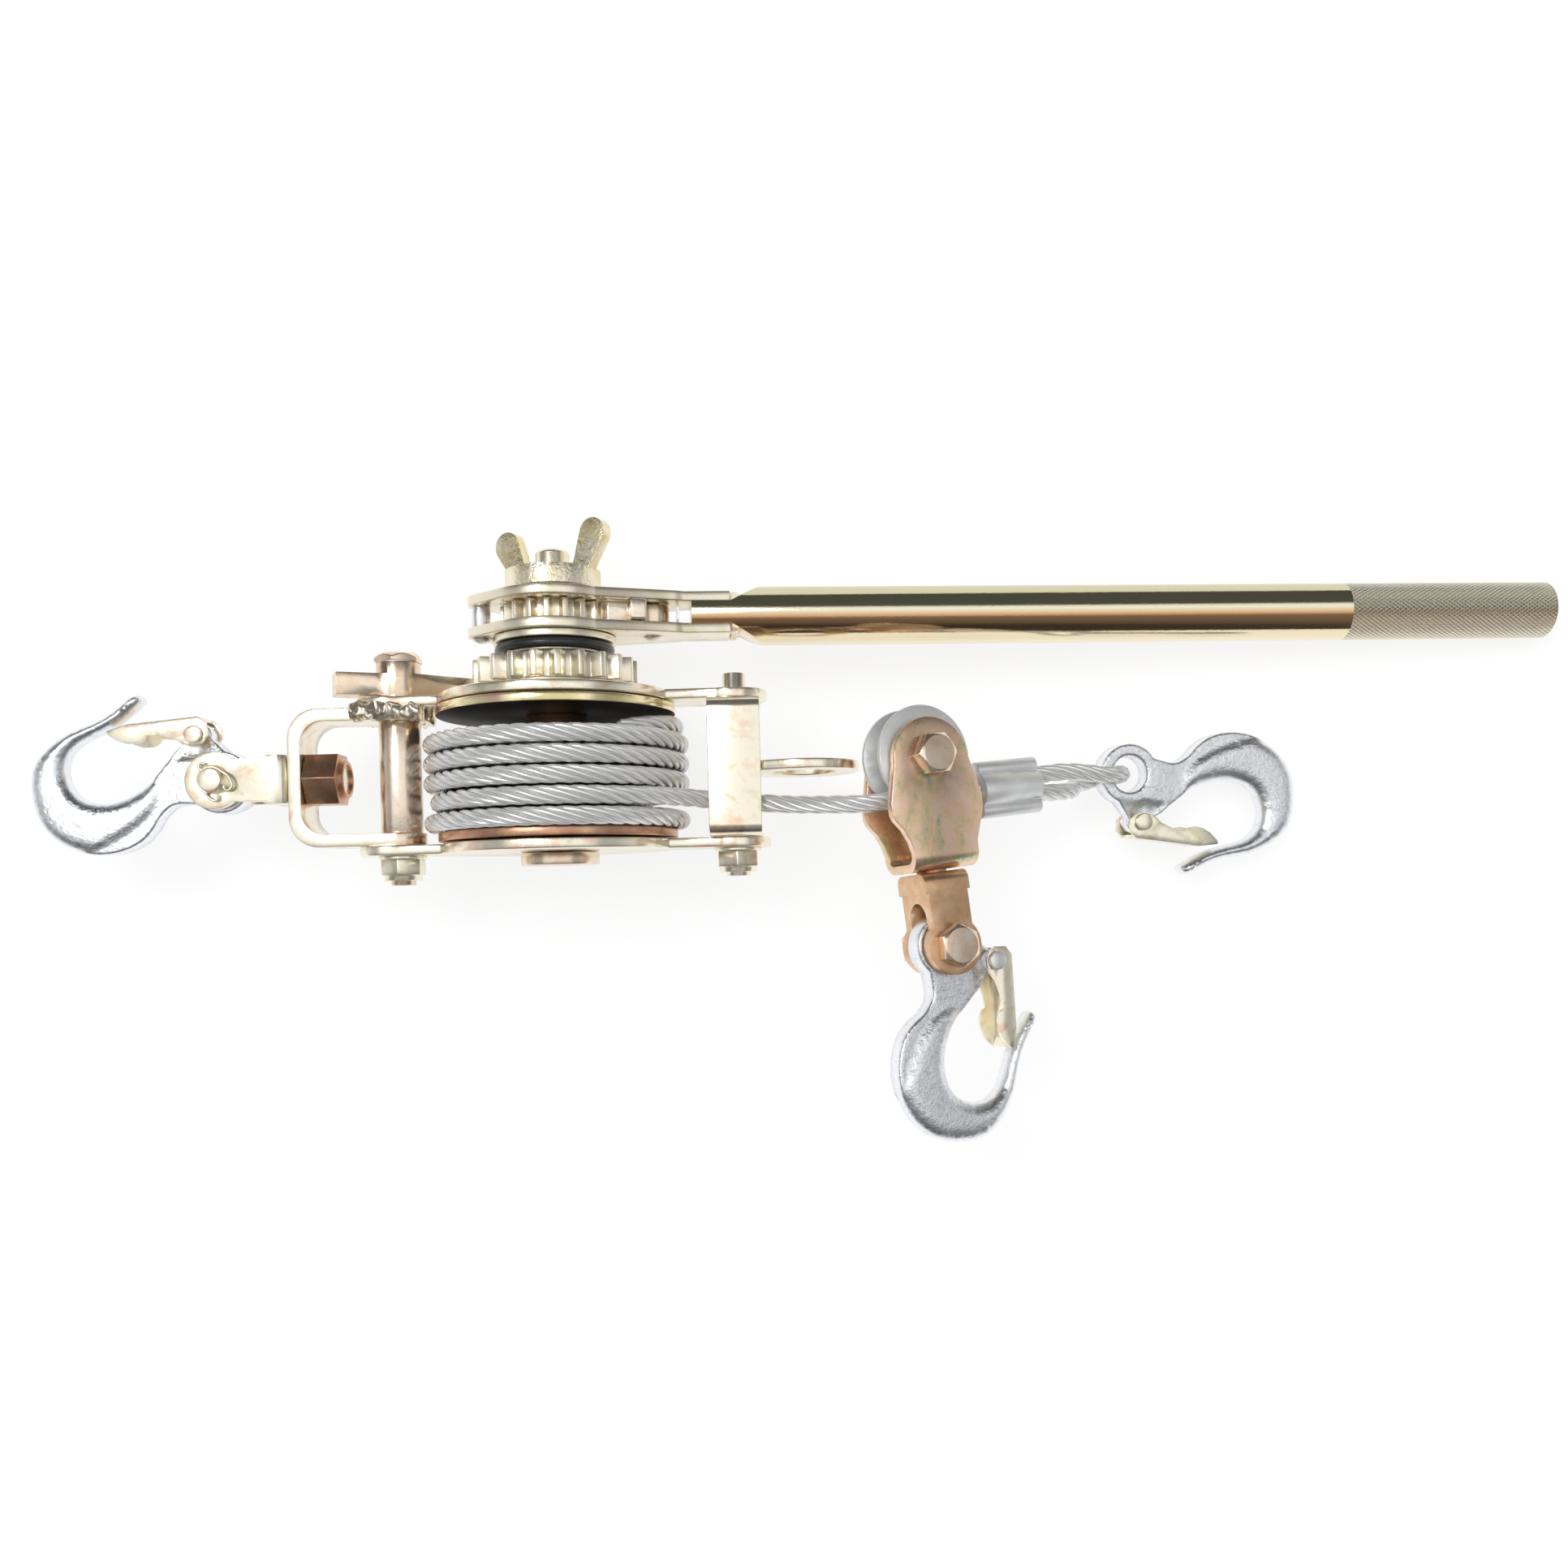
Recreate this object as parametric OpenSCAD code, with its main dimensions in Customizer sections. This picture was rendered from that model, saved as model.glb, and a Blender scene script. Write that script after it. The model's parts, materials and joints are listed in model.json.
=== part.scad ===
// Come along winch: a hand ratchet puller with a rope drum, three safety hooks and a sheave block.
// It lies on its side. The drum axis is Y, the long handle reaches towards +X and +Z is up.
// All modules draw in a frame centred on the drum; stand() puts the object on its floor.

/* [Wire rope] */
// Diameter of the wire rope
rope_d = 7.4; // [6:0.2:9]
// Radius of the outer turns' centre line
wind_r = 50.2; // [49:0.1:50.5]
// Distance between neighbouring outer turns
turn_pitch = 7.85; // [7.8:0.01:8.1]

/* [Drum] */
// Radius of the drum flanges
flange_r = 48.5; // [46:0.5:49]
// Thickness of a drum flange
flange_t = 3.5; // [2.5:0.1:4]
// Clear width between the flanges
drum_w = 47.3; // [46:0.1:48]
// Radius of the drum hub
hub_r = 12.5; // [11:0.5:16]
// Radius of the drum shaft
shaft_r = 7; // [6:0.25:8]
// Height of the shaft's threaded end above the drum centre
shaft_top = 91.5; // [88:0.5:100]

/* [Frame] */
// Thickness of the frame plates
plate_t = 4; // [3:0.25:5]
// Radius of the frame plates around the drum
bulge_r = 47.5; // [46:0.5:48]
// Half width of the frame plates' arms
arm_half = 13; // [12.5:0.25:15]
// Gap between a flange and its frame plate
flange_gap = 0.85; // [0.5:0.05:1.2]
// Gap between the wound rope and the pawl bolt's tube
tube_gap = 2.1; // [1:0.1:5]
// Gap between the wound rope and the guard strip
guard_gap = 8.6; // [5:0.1:12]
// Radius of the two frame bolts
bolt_r = 5; // [4:0.25:5.5]
// Thickness of the end bail's bar
bail_t = 5.1; // [4:0.1:6]
// Width of the end bail's bar
bail_w = 22; // [20:0.5:24]
// Distance from the drum axis to the bail's outer face
bail_reach = 107.3; // [105:0.5:120]

/* [Ratchet] */
// Tip radius of the holding ratchet wheel
wheel_r = 33.5; // [33:0.1:33.7]
// Number of teeth on the holding wheel
wheel_teeth = 22; // [22:22:22]
// Thickness of the holding wheel
wheel_t = 10; // [8:0.5:11]
// Tip radius of the handle gear
gear_r = 21.6; // [21:0.1:21.7]
// Number of teeth on the handle gear
gear_teeth = 18; // [18:18:18]
// Gap between the two handle head plates
head_gap = 8.9; // [8:0.1:11]

/* [Handle] */
// Radius of the handle tube
tube_r = 12; // [11:0.25:13]
// Wall of the handle tube
tube_wall = 2; // [1.5:0.1:3]
// Distance from the drum axis to the handle's end
handle_reach = 433; // [380:1:470]
// Angle that the handle dips towards the floor
handle_dip = 5.4; // [4:0.1:5.6]

/* [Hooks] */
// Full thickness of a forged hook
hook_t = 12.5; // [11:0.25:13]
// Radius of a hook's eye ring
eye_r = 13; // [12.5:0.25:14]
// Radius of the clevis pins
pin_r = 4.7; // [4:0.1:5.5]
// Radius of the rope hook's eye hole
rope_hole_r = 7.7; // [7.5:0.1:8.5]
// Thickness of a safety latch's sheet
latch_t = 1.3; // [1:0.1:1.6]

/* [Sheave block] */
// Radius of the sheave
sheave_r = 20.5; // [20:0.5:22]
// Width of the sheave
sheave_w = 14.4; // [13.5:0.1:15]
// Thickness of the block's folded plate
cheek_t = 3.5; // [2.5:0.1:4]

/* [Hidden] */

fit = 0.05;             // radial clearance of a running fit
clear = 0.4;            // gap between faces that pass each other
rope_r = rope_d / 2;
zinc = "silver";
gold = "goldenrod";
round_n = 48;

// the two frame bolts stand clear of the wound rope
bolt_tube_r = 8.5;
guard_w = 21;
pawl_bolt_x = wind_r + rope_r + tube_gap + bolt_tube_r;
guard_bolt_x = wind_r + rope_r + guard_gap + guard_w / 2;

// heights along the drum axis
drum_half = drum_w / 2;
plate_in = drum_half + flange_t + flange_gap;
plate_out = plate_in + plate_t;
wheel_y = plate_out + 3.8;
wheel_top = wheel_y + wheel_t;
disc_t = 1.2;
ring_y = wheel_top + 2 * disc_t + 2;
gear_y = wheel_top + 2 * disc_t;
head_low = gear_y + 7.6;
head_t = 4.1;
head_mid = head_low + head_t + head_gap / 2;
head_top = head_low + 2 * head_t + head_gap;
journal_r = 17;
nut_y = head_top + 2;
nut_t = 7.8;

// the floor lies under the outer turns of the rope, which are pressed flat there
flat_cut = 0.7;
wound_r = wind_r + rope_r;
floor_z = wound_r - flat_cut;
stand_at = [-109.2, 23.9, floor_z];

// the sheave block, the ferrule and the rope's eye lie along one sloping line
block_at = [147, -14.5, 17];
tail_dip = 26;
tail_turn = 6.5;
ferrule_from = 27;
ferrule_l = 29;
eye_along = 104;
eye_dip = 10;
axis_up = 15.5;         // sheave axis above the rope's centre line
groove_r = axis_up - rope_r;

module stand() { translate(stand_at) children(); }
module at_block() { translate(block_at) rotate([0, tail_dip, tail_turn]) children(); }
module at_handle() { rotate([0, handle_dip, 0]) children(); }

// a plate in the plane of X and Z that is t thick above height y
module slab(y, t) { translate([0, y + t, 0]) rotate([90, 0, 0]) linear_extrude(t) children(); }
// a round bar along Y from height y
module bar_y(r, y, l) { translate([0, y, 0]) rotate([-90, 0, 0]) cylinder(r=r, h=l, $fn=round_n); }
// a round bar along Y with a hole
module tube_y(r, hole, y, l) {
    difference() {
        bar_y(r, y, l);
        bar_y(hole, y - 1, l + 2);
    }
}
module hex_y(across, y, l) { translate([0, y, 0]) rotate([-90, 30, 0]) cylinder(d=across, h=l, $fn=6); }

// ---------------------------------------------------------------- swept ropes
function unit(v) = v / norm(v);
function dir_at(p, i) = unit(p[min(i + 1, len(p) - 1)] - p[max(i - 1, 0)]);
function side_at(d) = unit(cross(d, abs(d[1]) < 0.9 ? [0, 1, 0] : [1, 0, 0]));
function ring_at(c, d, r, n, turn=0) = let (s = side_at(d), t = cross(d, s))
    [for (k = [0:n - 1]) c + r * cos(360 * k / n + turn) * s + r * sin(360 * k / n + turn) * t];
// a closed tube through the points p with n sides
module sweep(p, r, n) {
    rings = len(p);
    points = [for (i = [0:rings - 1]) each ring_at(p[i], dir_at(p, i), r, n)];
    sides = [for (i = [0:rings - 2], k = [0:n - 1]) let (a = i * n + k, b = i * n + (k + 1) % n)
        each [[a, b, b + n], [a, b + n, a + n]]];
    ends = [for (k = [1:n - 2]) each [[0, k + 1, k],
        [(rings - 1) * n, (rings - 1) * n + k, (rings - 1) * n + k + 1]]];
    polyhedron(points, concat(sides, ends));
}
// extra points between the chosen ones, on a smooth curve through them
function curve(a, b, c, d, t) = 0.5 * ((2 * b) + (c - a) * t + (2 * a - 5 * b + 4 * c - d) * t * t
    + (3 * b - a - 3 * c + d) * t * t * t);
function smooth(p, n) = [for (i = [0:len(p) - 2], k = [0:n - 1])
    curve(p[max(i - 1, 0)], p[i], p[i + 1], p[min(i + 2, len(p) - 1)], k / n), p[len(p) - 1]];
function turned(v, dip, turn) = let (x = v[0] * cos(dip) + v[2] * sin(dip), z = v[2] * cos(dip) - v[0] * sin(dip))
    [x * cos(turn) - v[1] * sin(turn), x * sin(turn) + v[1] * cos(turn), z];
function tail_point(v) = block_at + turned(v, tail_dip, tail_turn);
rope_hook_at = tail_point([eye_along, 0, 0]);
function eye_point(v) = rope_hook_at + turned(v, eye_dip, tail_turn);

// the outer turns: half a turn at the lower flange, a long climb, then turns side by side that lie
// level on top and step up underneath
low_y = -drum_half + rope_r + 0.05;
wind_from = -60;
wind_to = 1485;
wind_dive = 8.4;         // the last part of the rope goes under the outer turns
level_to = 2.03;         // in pitches
level_from = 1.97;
function turn_y(t) = t < 180 ? level_from + (level_to - level_from) * t / 180
    : level_to + (level_from + 1 - level_to) * (t - 180) / 180;
function rise(a) = a < 180 ? 0
    : a < 360 ? level_from * (a - 180) / 180
    : turn_y((a - 360) % 360) + floor((a - 360) / 360);
function wind_y(a) = low_y + turn_pitch * (rise(a) - 0.6 * pow(max(0, a - 1425) / 60, 2));
function dive(a) = max(0, 1 - (a - wind_from) / 40, 1 - (wind_to - a) / 100);
function wind_point(a) = let (r = wind_r - wind_dive * pow(dive(a), 2)) [r * cos(a), wind_y(a), r * sin(a)];
ring_step = 15;
wind_points = [for (a = [wind_from:ring_step:wind_to]) wind_point(a)];
// least gap between turns: points more than half a turn apart
wind_gap = min([for (i = [0:len(wind_points) - 1], j = [i + 12:1:len(wind_points) - 1])
    norm(wind_points[i] - wind_points[j])]) - rope_d;
echo(least_gap_between_turns=wind_gap);

// the run lies between two turns, leaves the drum, passes the guard and enters the block
run_y = low_y + turn_pitch;
run_dive = 7.8;
run_on_drum = [for (a = [206:-14:52]) let (r = wind_r - run_dive * min(1, pow(max(0, a - 122) / 70, 2)))
    [r * cos(a), run_y, r * sin(a)]];
run_free = [[40.4, run_y + 0.1, 32], [51.5, run_y - 0.2, 22.4], [62, run_y - 0.9, 13.8], [73, -13.9, 11.4],
    [85, -15, 12.6], [97, -16.1, 16.6], [110, -16.8, 22.3]];
run_in_block = [tail_point([-24, 0, -2]), tail_point([-12, 0, -0.6]), tail_point([0, 0, 0]),
    tail_point([14, 0, 0]), tail_point([ferrule_from, 0, 0])];
run_points = smooth(concat(run_on_drum, run_free, run_in_block), 2);

// the eye leaves the ferrule twice and passes through the hook's hole
strand_y = rope_r + 0.15;
ferrule_to = ferrule_from + ferrule_l;
over = [eye_point([-34, 4.0, 11.2]), eye_point([-26, 3.0, 11.4]),
    eye_point([-18, 1.2, 11.4]), eye_point([-11.5, 0, 10.9])];
under = [eye_point([-12, 0, -11]), eye_point([-17.5, -1, -10.6]), eye_point([-22, -2.4, -6]),
    eye_point([-25.5, -3.6, 0.5]), eye_point([-31, -4.2, 6.8])];
through = [eye_point([-6.6, 0, 8.9]), eye_point([-4, 0, 5]), eye_point([-3.3, 0, 0]),
    eye_point([-4, 0, -5]), eye_point([-6.8, 0, -9])];
square_out = [ferrule_to + 0.01, ferrule_to + 1.5];
eye_points = concat([tail_point([square_out[0], strand_y, 0])],
    smooth(concat([tail_point([square_out[1], strand_y, 0])], over, through, under,
        [tail_point([square_out[1], -strand_y, 0])]), 2), [tail_point([square_out[0], -strand_y, 0])]);

module rope_run() { color(zinc) sweep(run_points, rope_r, 8); }
module rope_eye() { color(zinc) sweep(eye_points, rope_r, 8); }
module rope_winding() {
    color(zinc) intersection() {
        sweep(wind_points, rope_r, 6);
        translate([-wound_r - 1, -drum_w, -floor_z]) cube([2 * wound_r + 2, 2 * drum_w, 2 * wound_r]);
    }
}
core_top = 11;
core_r = wind_r - rope_r - clear;
module rope_core() {
    color("gray") difference() {
        tube_y(core_r, hub_r, -drum_half, drum_half + core_top);
        tube_y(core_r + 1, wind_r - run_dive - rope_r - clear, run_y - rope_r - clear, rope_d + 2 * clear);
    }
}

// the pressed ferrule: a stepped barrel between two round lobes
lobe_r = 3.3;
lobe_y = 8.3;
module ferrule() {
    color("lightgray") at_block() translate([ferrule_from, 0, 0]) rotate([0, 90, 0]) union() {
        cylinder(r=7.4, h=ferrule_l * 0.5, $fn=round_n);
        cylinder(r=6.9, h=ferrule_l * 0.84, $fn=round_n);
        cylinder(r=6.3, h=ferrule_l, $fn=round_n);
        translate([-2.6, -lobe_y, 0]) cube([5.2, 2 * lobe_y, ferrule_l]);
        for (s = [-1, 1]) translate([0, s * lobe_y, 0]) cylinder(r=lobe_r, h=ferrule_l, $fn=32);
    }
}

// ---------------------------------------------------------------- frame
pawl_end = arm_half + 1;
guard_end = arm_half + 1.5;
arm_from = -pawl_bolt_x - 3;
arm_to = guard_bolt_x - 1;
module frame_outline() {
    difference() {
        union() {
            circle(r=bulge_r, $fn=96);
            translate([arm_from, -arm_half]) square([arm_to - arm_from, 2 * arm_half]);
            translate([arm_from, 0]) circle(r=pawl_end, $fn=round_n);
            translate([arm_to, 0]) circle(r=guard_end, $fn=round_n);
        }
        circle(r=bush_r, $fn=round_n);
        translate([-pawl_bolt_x, 0]) circle(r=bolt_r, $fn=round_n);
        translate([guard_bolt_x, 0]) circle(r=bolt_r, $fn=round_n);
    }
}
bush_r = shaft_r + 4;
module upper_frame_plate() { color(gold) slab(plate_in, plate_t) frame_outline(); }
module lower_frame_plate() { color(gold) slab(-plate_out, plate_t) frame_outline(); }
module drum_bushes() {
    color("peru") {
        tube_y(bush_r, shaft_r + fit, plate_in, plate_t);
        tube_y(bush_r, shaft_r + fit, -plate_out, plate_t);
    }
}

// the end bail: a bent flat bar between the frame plates
arm_end_x = pawl_bolt_x - 10;
bail_corner = 12;
module bail_side(out) {
    h = plate_in - out;
    hull() {
        for (s = [-1, 1]) translate([-bail_reach + out + bail_corner - out / 2, s * (h - bail_corner + out / 2)])
            circle(r=bail_corner - out / 2, $fn=round_n);
        translate([-arm_end_x - 20, -h]) square([20, 2 * h]);
    }
}
stud_r = 6;
module end_bail() {
    color(gold) difference() {
        intersection() {
            translate([0, 0, -bail_w / 2]) linear_extrude(bail_w) difference() {
                bail_side(0);
                bail_side(bail_t);
                translate([-arm_end_x - 20, bail_t - plate_in]) square([40, 2 * (plate_in - bail_t)]);
            }
            slab(-plate_in, 2 * plate_in) union() {
                translate([-arm_end_x - bail_w / 2, 0]) circle(d=bail_w, $fn=round_n);
                translate([-bail_reach - 1, -bail_w / 2])
                    square([bail_reach + 1 - arm_end_x - bail_w / 2, bail_w]);
            }
        }
        translate([-pawl_bolt_x, 0, 0]) bar_y(bolt_r, -plate_in - 1, 2 * plate_in + 2);
        translate([-bail_reach - 1, 0, 0]) rotate([0, 90, 0]) cylinder(r=stud_r + fit, h=bail_t + 2, $fn=round_n);
    }
}
// the fillet weld between the upper plate's underside and the bail's front edge
weld_leg = arm_half - bail_w / 2;
module bail_weld() {
    color("khaki") for (s = [-1, 1]) translate([-pawl_bolt_x - 14, plate_in, s * bail_w / 2])
        rotate([90, 0, 90]) linear_extrude(20)
            polygon([[0, 0], [0, s * weld_leg], [-4.2, s * 0.8], [-4.6, 0]]);
}

head_y = wheel_top + 1.4;
pawl_low = plate_out + clear;
module hex_nut(r, across, y, l) {
    difference() {
        hex_y(across, y, l);
        bar_y(r, y - 1, l + 2);
    }
}
washer_t = 1.5;
module pawl_bolt() {
    color(gold) translate([-pawl_bolt_x, 0, 0]) {
        bar_y(bolt_r, -plate_out - 12, plate_out + 12 + head_y);
        intersection() {
            hex_y(20, head_y, 3.6);
            translate([0, head_y, 0]) rotate([-90, 0, 0]) cylinder(r1=11.4, r2=7.8, h=3.6, $fn=round_n);
        }
    }
}
module pawl_bolt_tube() {
    color("rosybrown") translate([-pawl_bolt_x, 0, 0])
        tube_y(bolt_tube_r, bolt_r, bail_t - plate_in, 2 * (plate_in - bail_t));
}
module guard_bolt() {
    color(gold) translate([guard_bolt_x, 0, 0]) {
        bar_y(bolt_r, -plate_out - 11.6, 2 * plate_out + 11.6);
        bar_y(bolt_r - 0.3, plate_out, 7.2);
    }
}
nut_across = 18.4;
module frame_nuts() {
    color(gold) for (x = [-pawl_bolt_x, guard_bolt_x]) translate([x, 0, 0]) {
        tube_y(9.6, bolt_r, -plate_out - washer_t, washer_t);
        hex_nut(bolt_r, nut_across, -plate_out - washer_t - 6.4, 6.4);
        tube_y(7.6, bolt_r, -plate_out - washer_t - 8.6, 2.2);
    }
}

// the guard strip: its face lies over the rope and both ends roll back to the bolt
guard_t = 1.9;
guard_face = 19.8;
guard_foot = 10;
guard_bend = 5;
module arch(half, top, bend) {
    translate([-half, -guard_foot]) square([2 * half, guard_foot + top - bend]);
    translate([bend - half, 0]) square([2 * (half - bend), top]);
    for (s = [-1, 1]) translate([s * (half - bend), top - bend]) circle(r=bend, $fn=round_n);
}
module rope_guard() {
    color(gold) difference() {
        translate([guard_bolt_x - guard_w / 2, 0, 0]) rotate([90, 0, 90]) linear_extrude(guard_w) difference() {
            arch(plate_in, guard_face, guard_bend);
            translate([0, -0.01]) arch(plate_in - guard_t, guard_face - guard_t + 0.01, guard_bend - guard_t);
            translate([guard_t - plate_in, -guard_foot - 1]) square([2 * (plate_in - guard_t), guard_foot + 2]);
        }
        translate([guard_bolt_x, 0, 0]) bar_y(bolt_r, -plate_in - 1, 2 * plate_in + 2);
    }
}
eye_plate_t = 4;
module eye_plate_spacers() {
    l = plate_in - guard_t - eye_plate_t / 2 - clear;
    color("darkkhaki") translate([guard_bolt_x, 0, 0]) {
        tube_y(6.5, bolt_r, eye_plate_t / 2 + clear, l);
        tube_y(6.5, bolt_r, -eye_plate_t / 2 - clear - l, l);
    }
}
eye_ring_x = 101;
eye_hole_r = 13;
module eye_plate() {
    color(gold) slab(-eye_plate_t / 2, eye_plate_t) difference() {
        hull() {
            translate([guard_bolt_x, 0]) circle(r=11.5, $fn=round_n);
            translate([eye_ring_x, 0]) circle(r=eye_hole_r + 9.5, $fn=round_n);
        }
        translate([guard_bolt_x, 0]) circle(r=bolt_r + fit, $fn=round_n);
        translate([eye_ring_x, 0]) circle(r=eye_hole_r, $fn=round_n);
    }
}

// ---------------------------------------------------------------- drum
module drum_shaft() {
    color("burlywood") {
        bar_y(shaft_r, -plate_out - 5.4, plate_out + 5.4 + shaft_top - 1.2);
        translate([0, shaft_top - 1.2, 0]) rotate([-90, 0, 0])
            cylinder(r1=shaft_r, r2=shaft_r - 1.2, h=1.2, $fn=round_n);
    }
}
module drum_hub() { color("rosybrown") tube_y(hub_r, shaft_r, -drum_half, drum_w); }
module upper_flange() { color(gold) tube_y(flange_r, shaft_r, drum_half, flange_t); }
module lower_flange() { color(gold) tube_y(flange_r, shaft_r, -drum_half - flange_t, flange_t); }
module shaft_collar() { color("tan") tube_y(16, shaft_r, -plate_out - 5.4, 5); }
thrust_r = 29;
cap_r = 18.5;
module thrust_washers() {
    color("rosybrown") {
        tube_y(thrust_r, shaft_r, plate_out + clear, wheel_y - plate_out - clear);
        tube_y(cap_r, shaft_r, head_top + clear, nut_y - head_top - 2 * clear);
    }
}
module ring_of_teeth(points, n) {
    polygon([for (i = [0:n - 1], p = points) let (a = p[1] + 360 * i / n) [p[0] * cos(a), p[0] * sin(a)]]);
}
// angle in the plane of X and Z where the holding pawl meets the wheel
catch_angle = 202.4;
tooth_depth = 4.5;
module ratchet_wheel() {
    pitch = 360 / wheel_teeth;
    root = wheel_r - tooth_depth;
    color("darkkhaki") slab(wheel_y, wheel_t) difference() {
        ring_of_teeth([[root, catch_angle + 2.2], [wheel_r, catch_angle + 6],
            [wheel_r, catch_angle + pitch - 6.3], [root, catch_angle + pitch - 2.6]], wheel_teeth);
        circle(r=shaft_r, $fn=round_n);
    }
}
module friction_discs() {
    color("dimgray") for (k = [0, 1]) tube_y(20, shaft_r, wheel_top + k * disc_t, disc_t);
}
module rubber_ring() {
    color("black") translate([0, gear_y + 2.3, 0]) rotate([90, 0, 0])
        rotate_extrude($fn=64) translate([22.3, 0]) circle(r=2.1, $fn=24);
}
// the gear with its flange, its groove for the rubber ring and its two journals
feed_angle = 24.2 - handle_dip;
module handle_gear() {
    tip = 2.8;
    root = 5.6;
    pitch = 360 / gear_teeth;
    mid = feed_angle + pitch / 2;
    color("khaki") difference() {
        union() {
            bar_y(20.2, gear_y, 4.6);
            bar_y(25, gear_y + 4.6, 3 - clear);
            bar_y(journal_r, gear_y + 4.6, head_top - gear_y - 4.6 + clear);
            slab(head_low + head_t + clear, head_gap - 2 * clear) ring_of_teeth([[gear_r - 4, mid - root],
                [gear_r, mid - tip], [gear_r, mid + tip], [gear_r - 4, mid + root]], gear_teeth);
        }
        bar_y(shaft_r, gear_y - 1, 60);
    }
}

// ---------------------------------------------------------------- wing nut
wing_turn = -28;
boss_r = 19.5;
wing_in = 14.6;
wing_out = 21.5;
module wing_nut() {
    color("khaki") rotate([0, wing_turn, 0]) difference() {
        union() {
            bar_y(boss_r, nut_y, nut_t);
            for (s = [0, 180]) rotate([0, s, 0]) translate([0, 0, -2.6]) linear_extrude(5.2) hull() {
                translate([wing_out, nut_y + 21]) circle(r=6, $fn=32);
                translate([wing_in, nut_y + 6]) circle(r=3.6, $fn=24);
            }
        }
        bar_y(shaft_r + fit, nut_y - 1, 40);
    }
}

// ---------------------------------------------------------------- pawls
pawl_lift = 7;          // the holding pawl waits this far out of the teeth, in degrees
feed_lift = 8;
feed_x = 40.5;
// both pawls are drawn where they bite and then turned back about their pivots
module holding_pawl_outline() {
    polygon([[0, -8], [20, -7.6], [27, -6.8], [33, -2.6], [36.4, -1], [37.6, -0.3], [37.2, 0.5],
        [31, 1.2], [20, 4.4], [0, 8.6]]);
    circle(r=9, $fn=round_n);
    polygon([[0, 8.6], [-10, 6], [-25.6, 5.4], [-25.6, -5.4], [-10, -6], [0, -8.6]]);
}
pawl_lean = 18;
module holding_pawl() {
    color("tan") translate([-pawl_bolt_x, 0, 0]) difference() {
        rotate([0, pawl_lean + pawl_lift, 0]) union() {
            slab(pawl_low + 0.6, 9) holding_pawl_outline();
            bar_y(9, pawl_low, head_y - clear - pawl_low);
        }
        bar_y(bolt_r + fit, pawl_low - 1, 40);
    }
}
// a small spring ring beside the pawl's boss, hidden under its head
module holding_pawl_spring() {
    color("silver") translate([-pawl_bolt_x, 0, 0]) tube_y(9, bolt_r, head_y - clear * 0.75, clear * 0.75);
}
module feed_pawl() {
    at = [for (p = [[19.6, -1.8], [19.6, 1.8], [23.6, 4.5], [23.1, -1.6]]) let (a = 24.2 + p[1])
        [p[0] * cos(a) - feed_x, p[0] * sin(a)]];
    y = head_low + head_t + clear;
    color("darkkhaki") at_handle() translate([feed_x, 0, 0]) rotate([0, feed_lift, 0])
        slab(y, head_gap - 2 * clear) difference() {
            union() {
                circle(r=6.6, $fn=round_n);
                polygon([[-3.4, -4.8], [3, -3], [3, 5], [-4.9, 7.4], [-4.9, 16.5], [-11.5, 16.5],
                    [-11.5, 9.6], at[2], at[1], at[0], at[3]]);
            }
            circle(r=2.5 + fit, $fn=24);
        }
}
module feed_pawl_spring() {
    color("silver") at_handle() translate([50, head_mid - 2.5, -7]) cube([1, 5, 14]);
}

// ---------------------------------------------------------------- handle
ear_x = 29.5;
tongue_to = 72;
module head_outline() {
    difference() {
        union() {
            hull() {
                circle(r=27, $fn=64);
                translate([-ear_x, 0]) circle(r=5.5, $fn=32);
            }
            hull() {
                circle(r=24, $fn=64);
                translate([feed_x + 6, 0]) circle(r=12, $fn=32);
            }
            translate([feed_x, -10]) square([tongue_to - feed_x, 20]);
        }
        circle(r=journal_r + fit, $fn=round_n);
        translate([-ear_x, 0]) circle(r=2.5, $fn=24);
        translate([feed_x, 0]) circle(r=2.5, $fn=24);
    }
}
module upper_head_plate() { color(gold) at_handle() slab(head_low + head_t + head_gap, head_t) head_outline(); }
module lower_head_plate() { color(gold) at_handle() slab(head_low, head_t) head_outline(); }
module dome_y(r, h, y, up) {
    ball = (r * r + h * h) / (2 * h);
    intersection() {
        translate([0, y + up * (h - ball), 0]) sphere(r=ball, $fn=48);
        bar_y(r, up > 0 ? y : y - h, h);
    }
}
module head_rivets() {
    color("silver") at_handle() for (x = [-ear_x, feed_x]) translate([x, 0, 0]) {
        bar_y(2.5, head_low, head_top - head_low);
        dome_y(4.4, 2, head_low, -1);
        dome_y(4.4, 2, head_top, 1);
        if (x < 0) tube_y(3.8, 2.5, head_low + head_t, head_gap);
    }
}
neck_from = 56;
flare_to = 87;
module handle_tube() {
    full = handle_reach - tube_r;
    pinched = head_gap / 2;
    color(gold) at_handle() translate([0, head_mid, 0]) difference() {
        rotate([0, 90, 0]) union() {
            translate([0, 0, neck_from]) cylinder(r=tube_r, h=full + 4 - neck_from, $fn=round_n);
            intersection() {
                translate([0, 0, full - 8]) sphere(r=20, $fn=64);
                translate([0, 0, full]) cylinder(r=tube_r, h=20, $fn=round_n);
            }
        }
        translate([0, 0, -tube_r - 1]) linear_extrude(2 * tube_r + 2) polygon([[neck_from - 1, pinched],
            [tongue_to, pinched], [flare_to, tube_r + 1], [neck_from - 1, tube_r + 1]]);
        translate([0, 0, -tube_r - 1]) linear_extrude(2 * tube_r + 2) polygon([[neck_from - 1, -pinched],
            [neck_from - 1, -tube_r - 1], [flare_to, -tube_r - 1], [tongue_to, -pinched]]);
        rotate([0, 90, 0]) translate([0, 0, flare_to])
            cylinder(r=tube_r - tube_wall, h=full - flare_to, $fn=round_n);
    }
}
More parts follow.
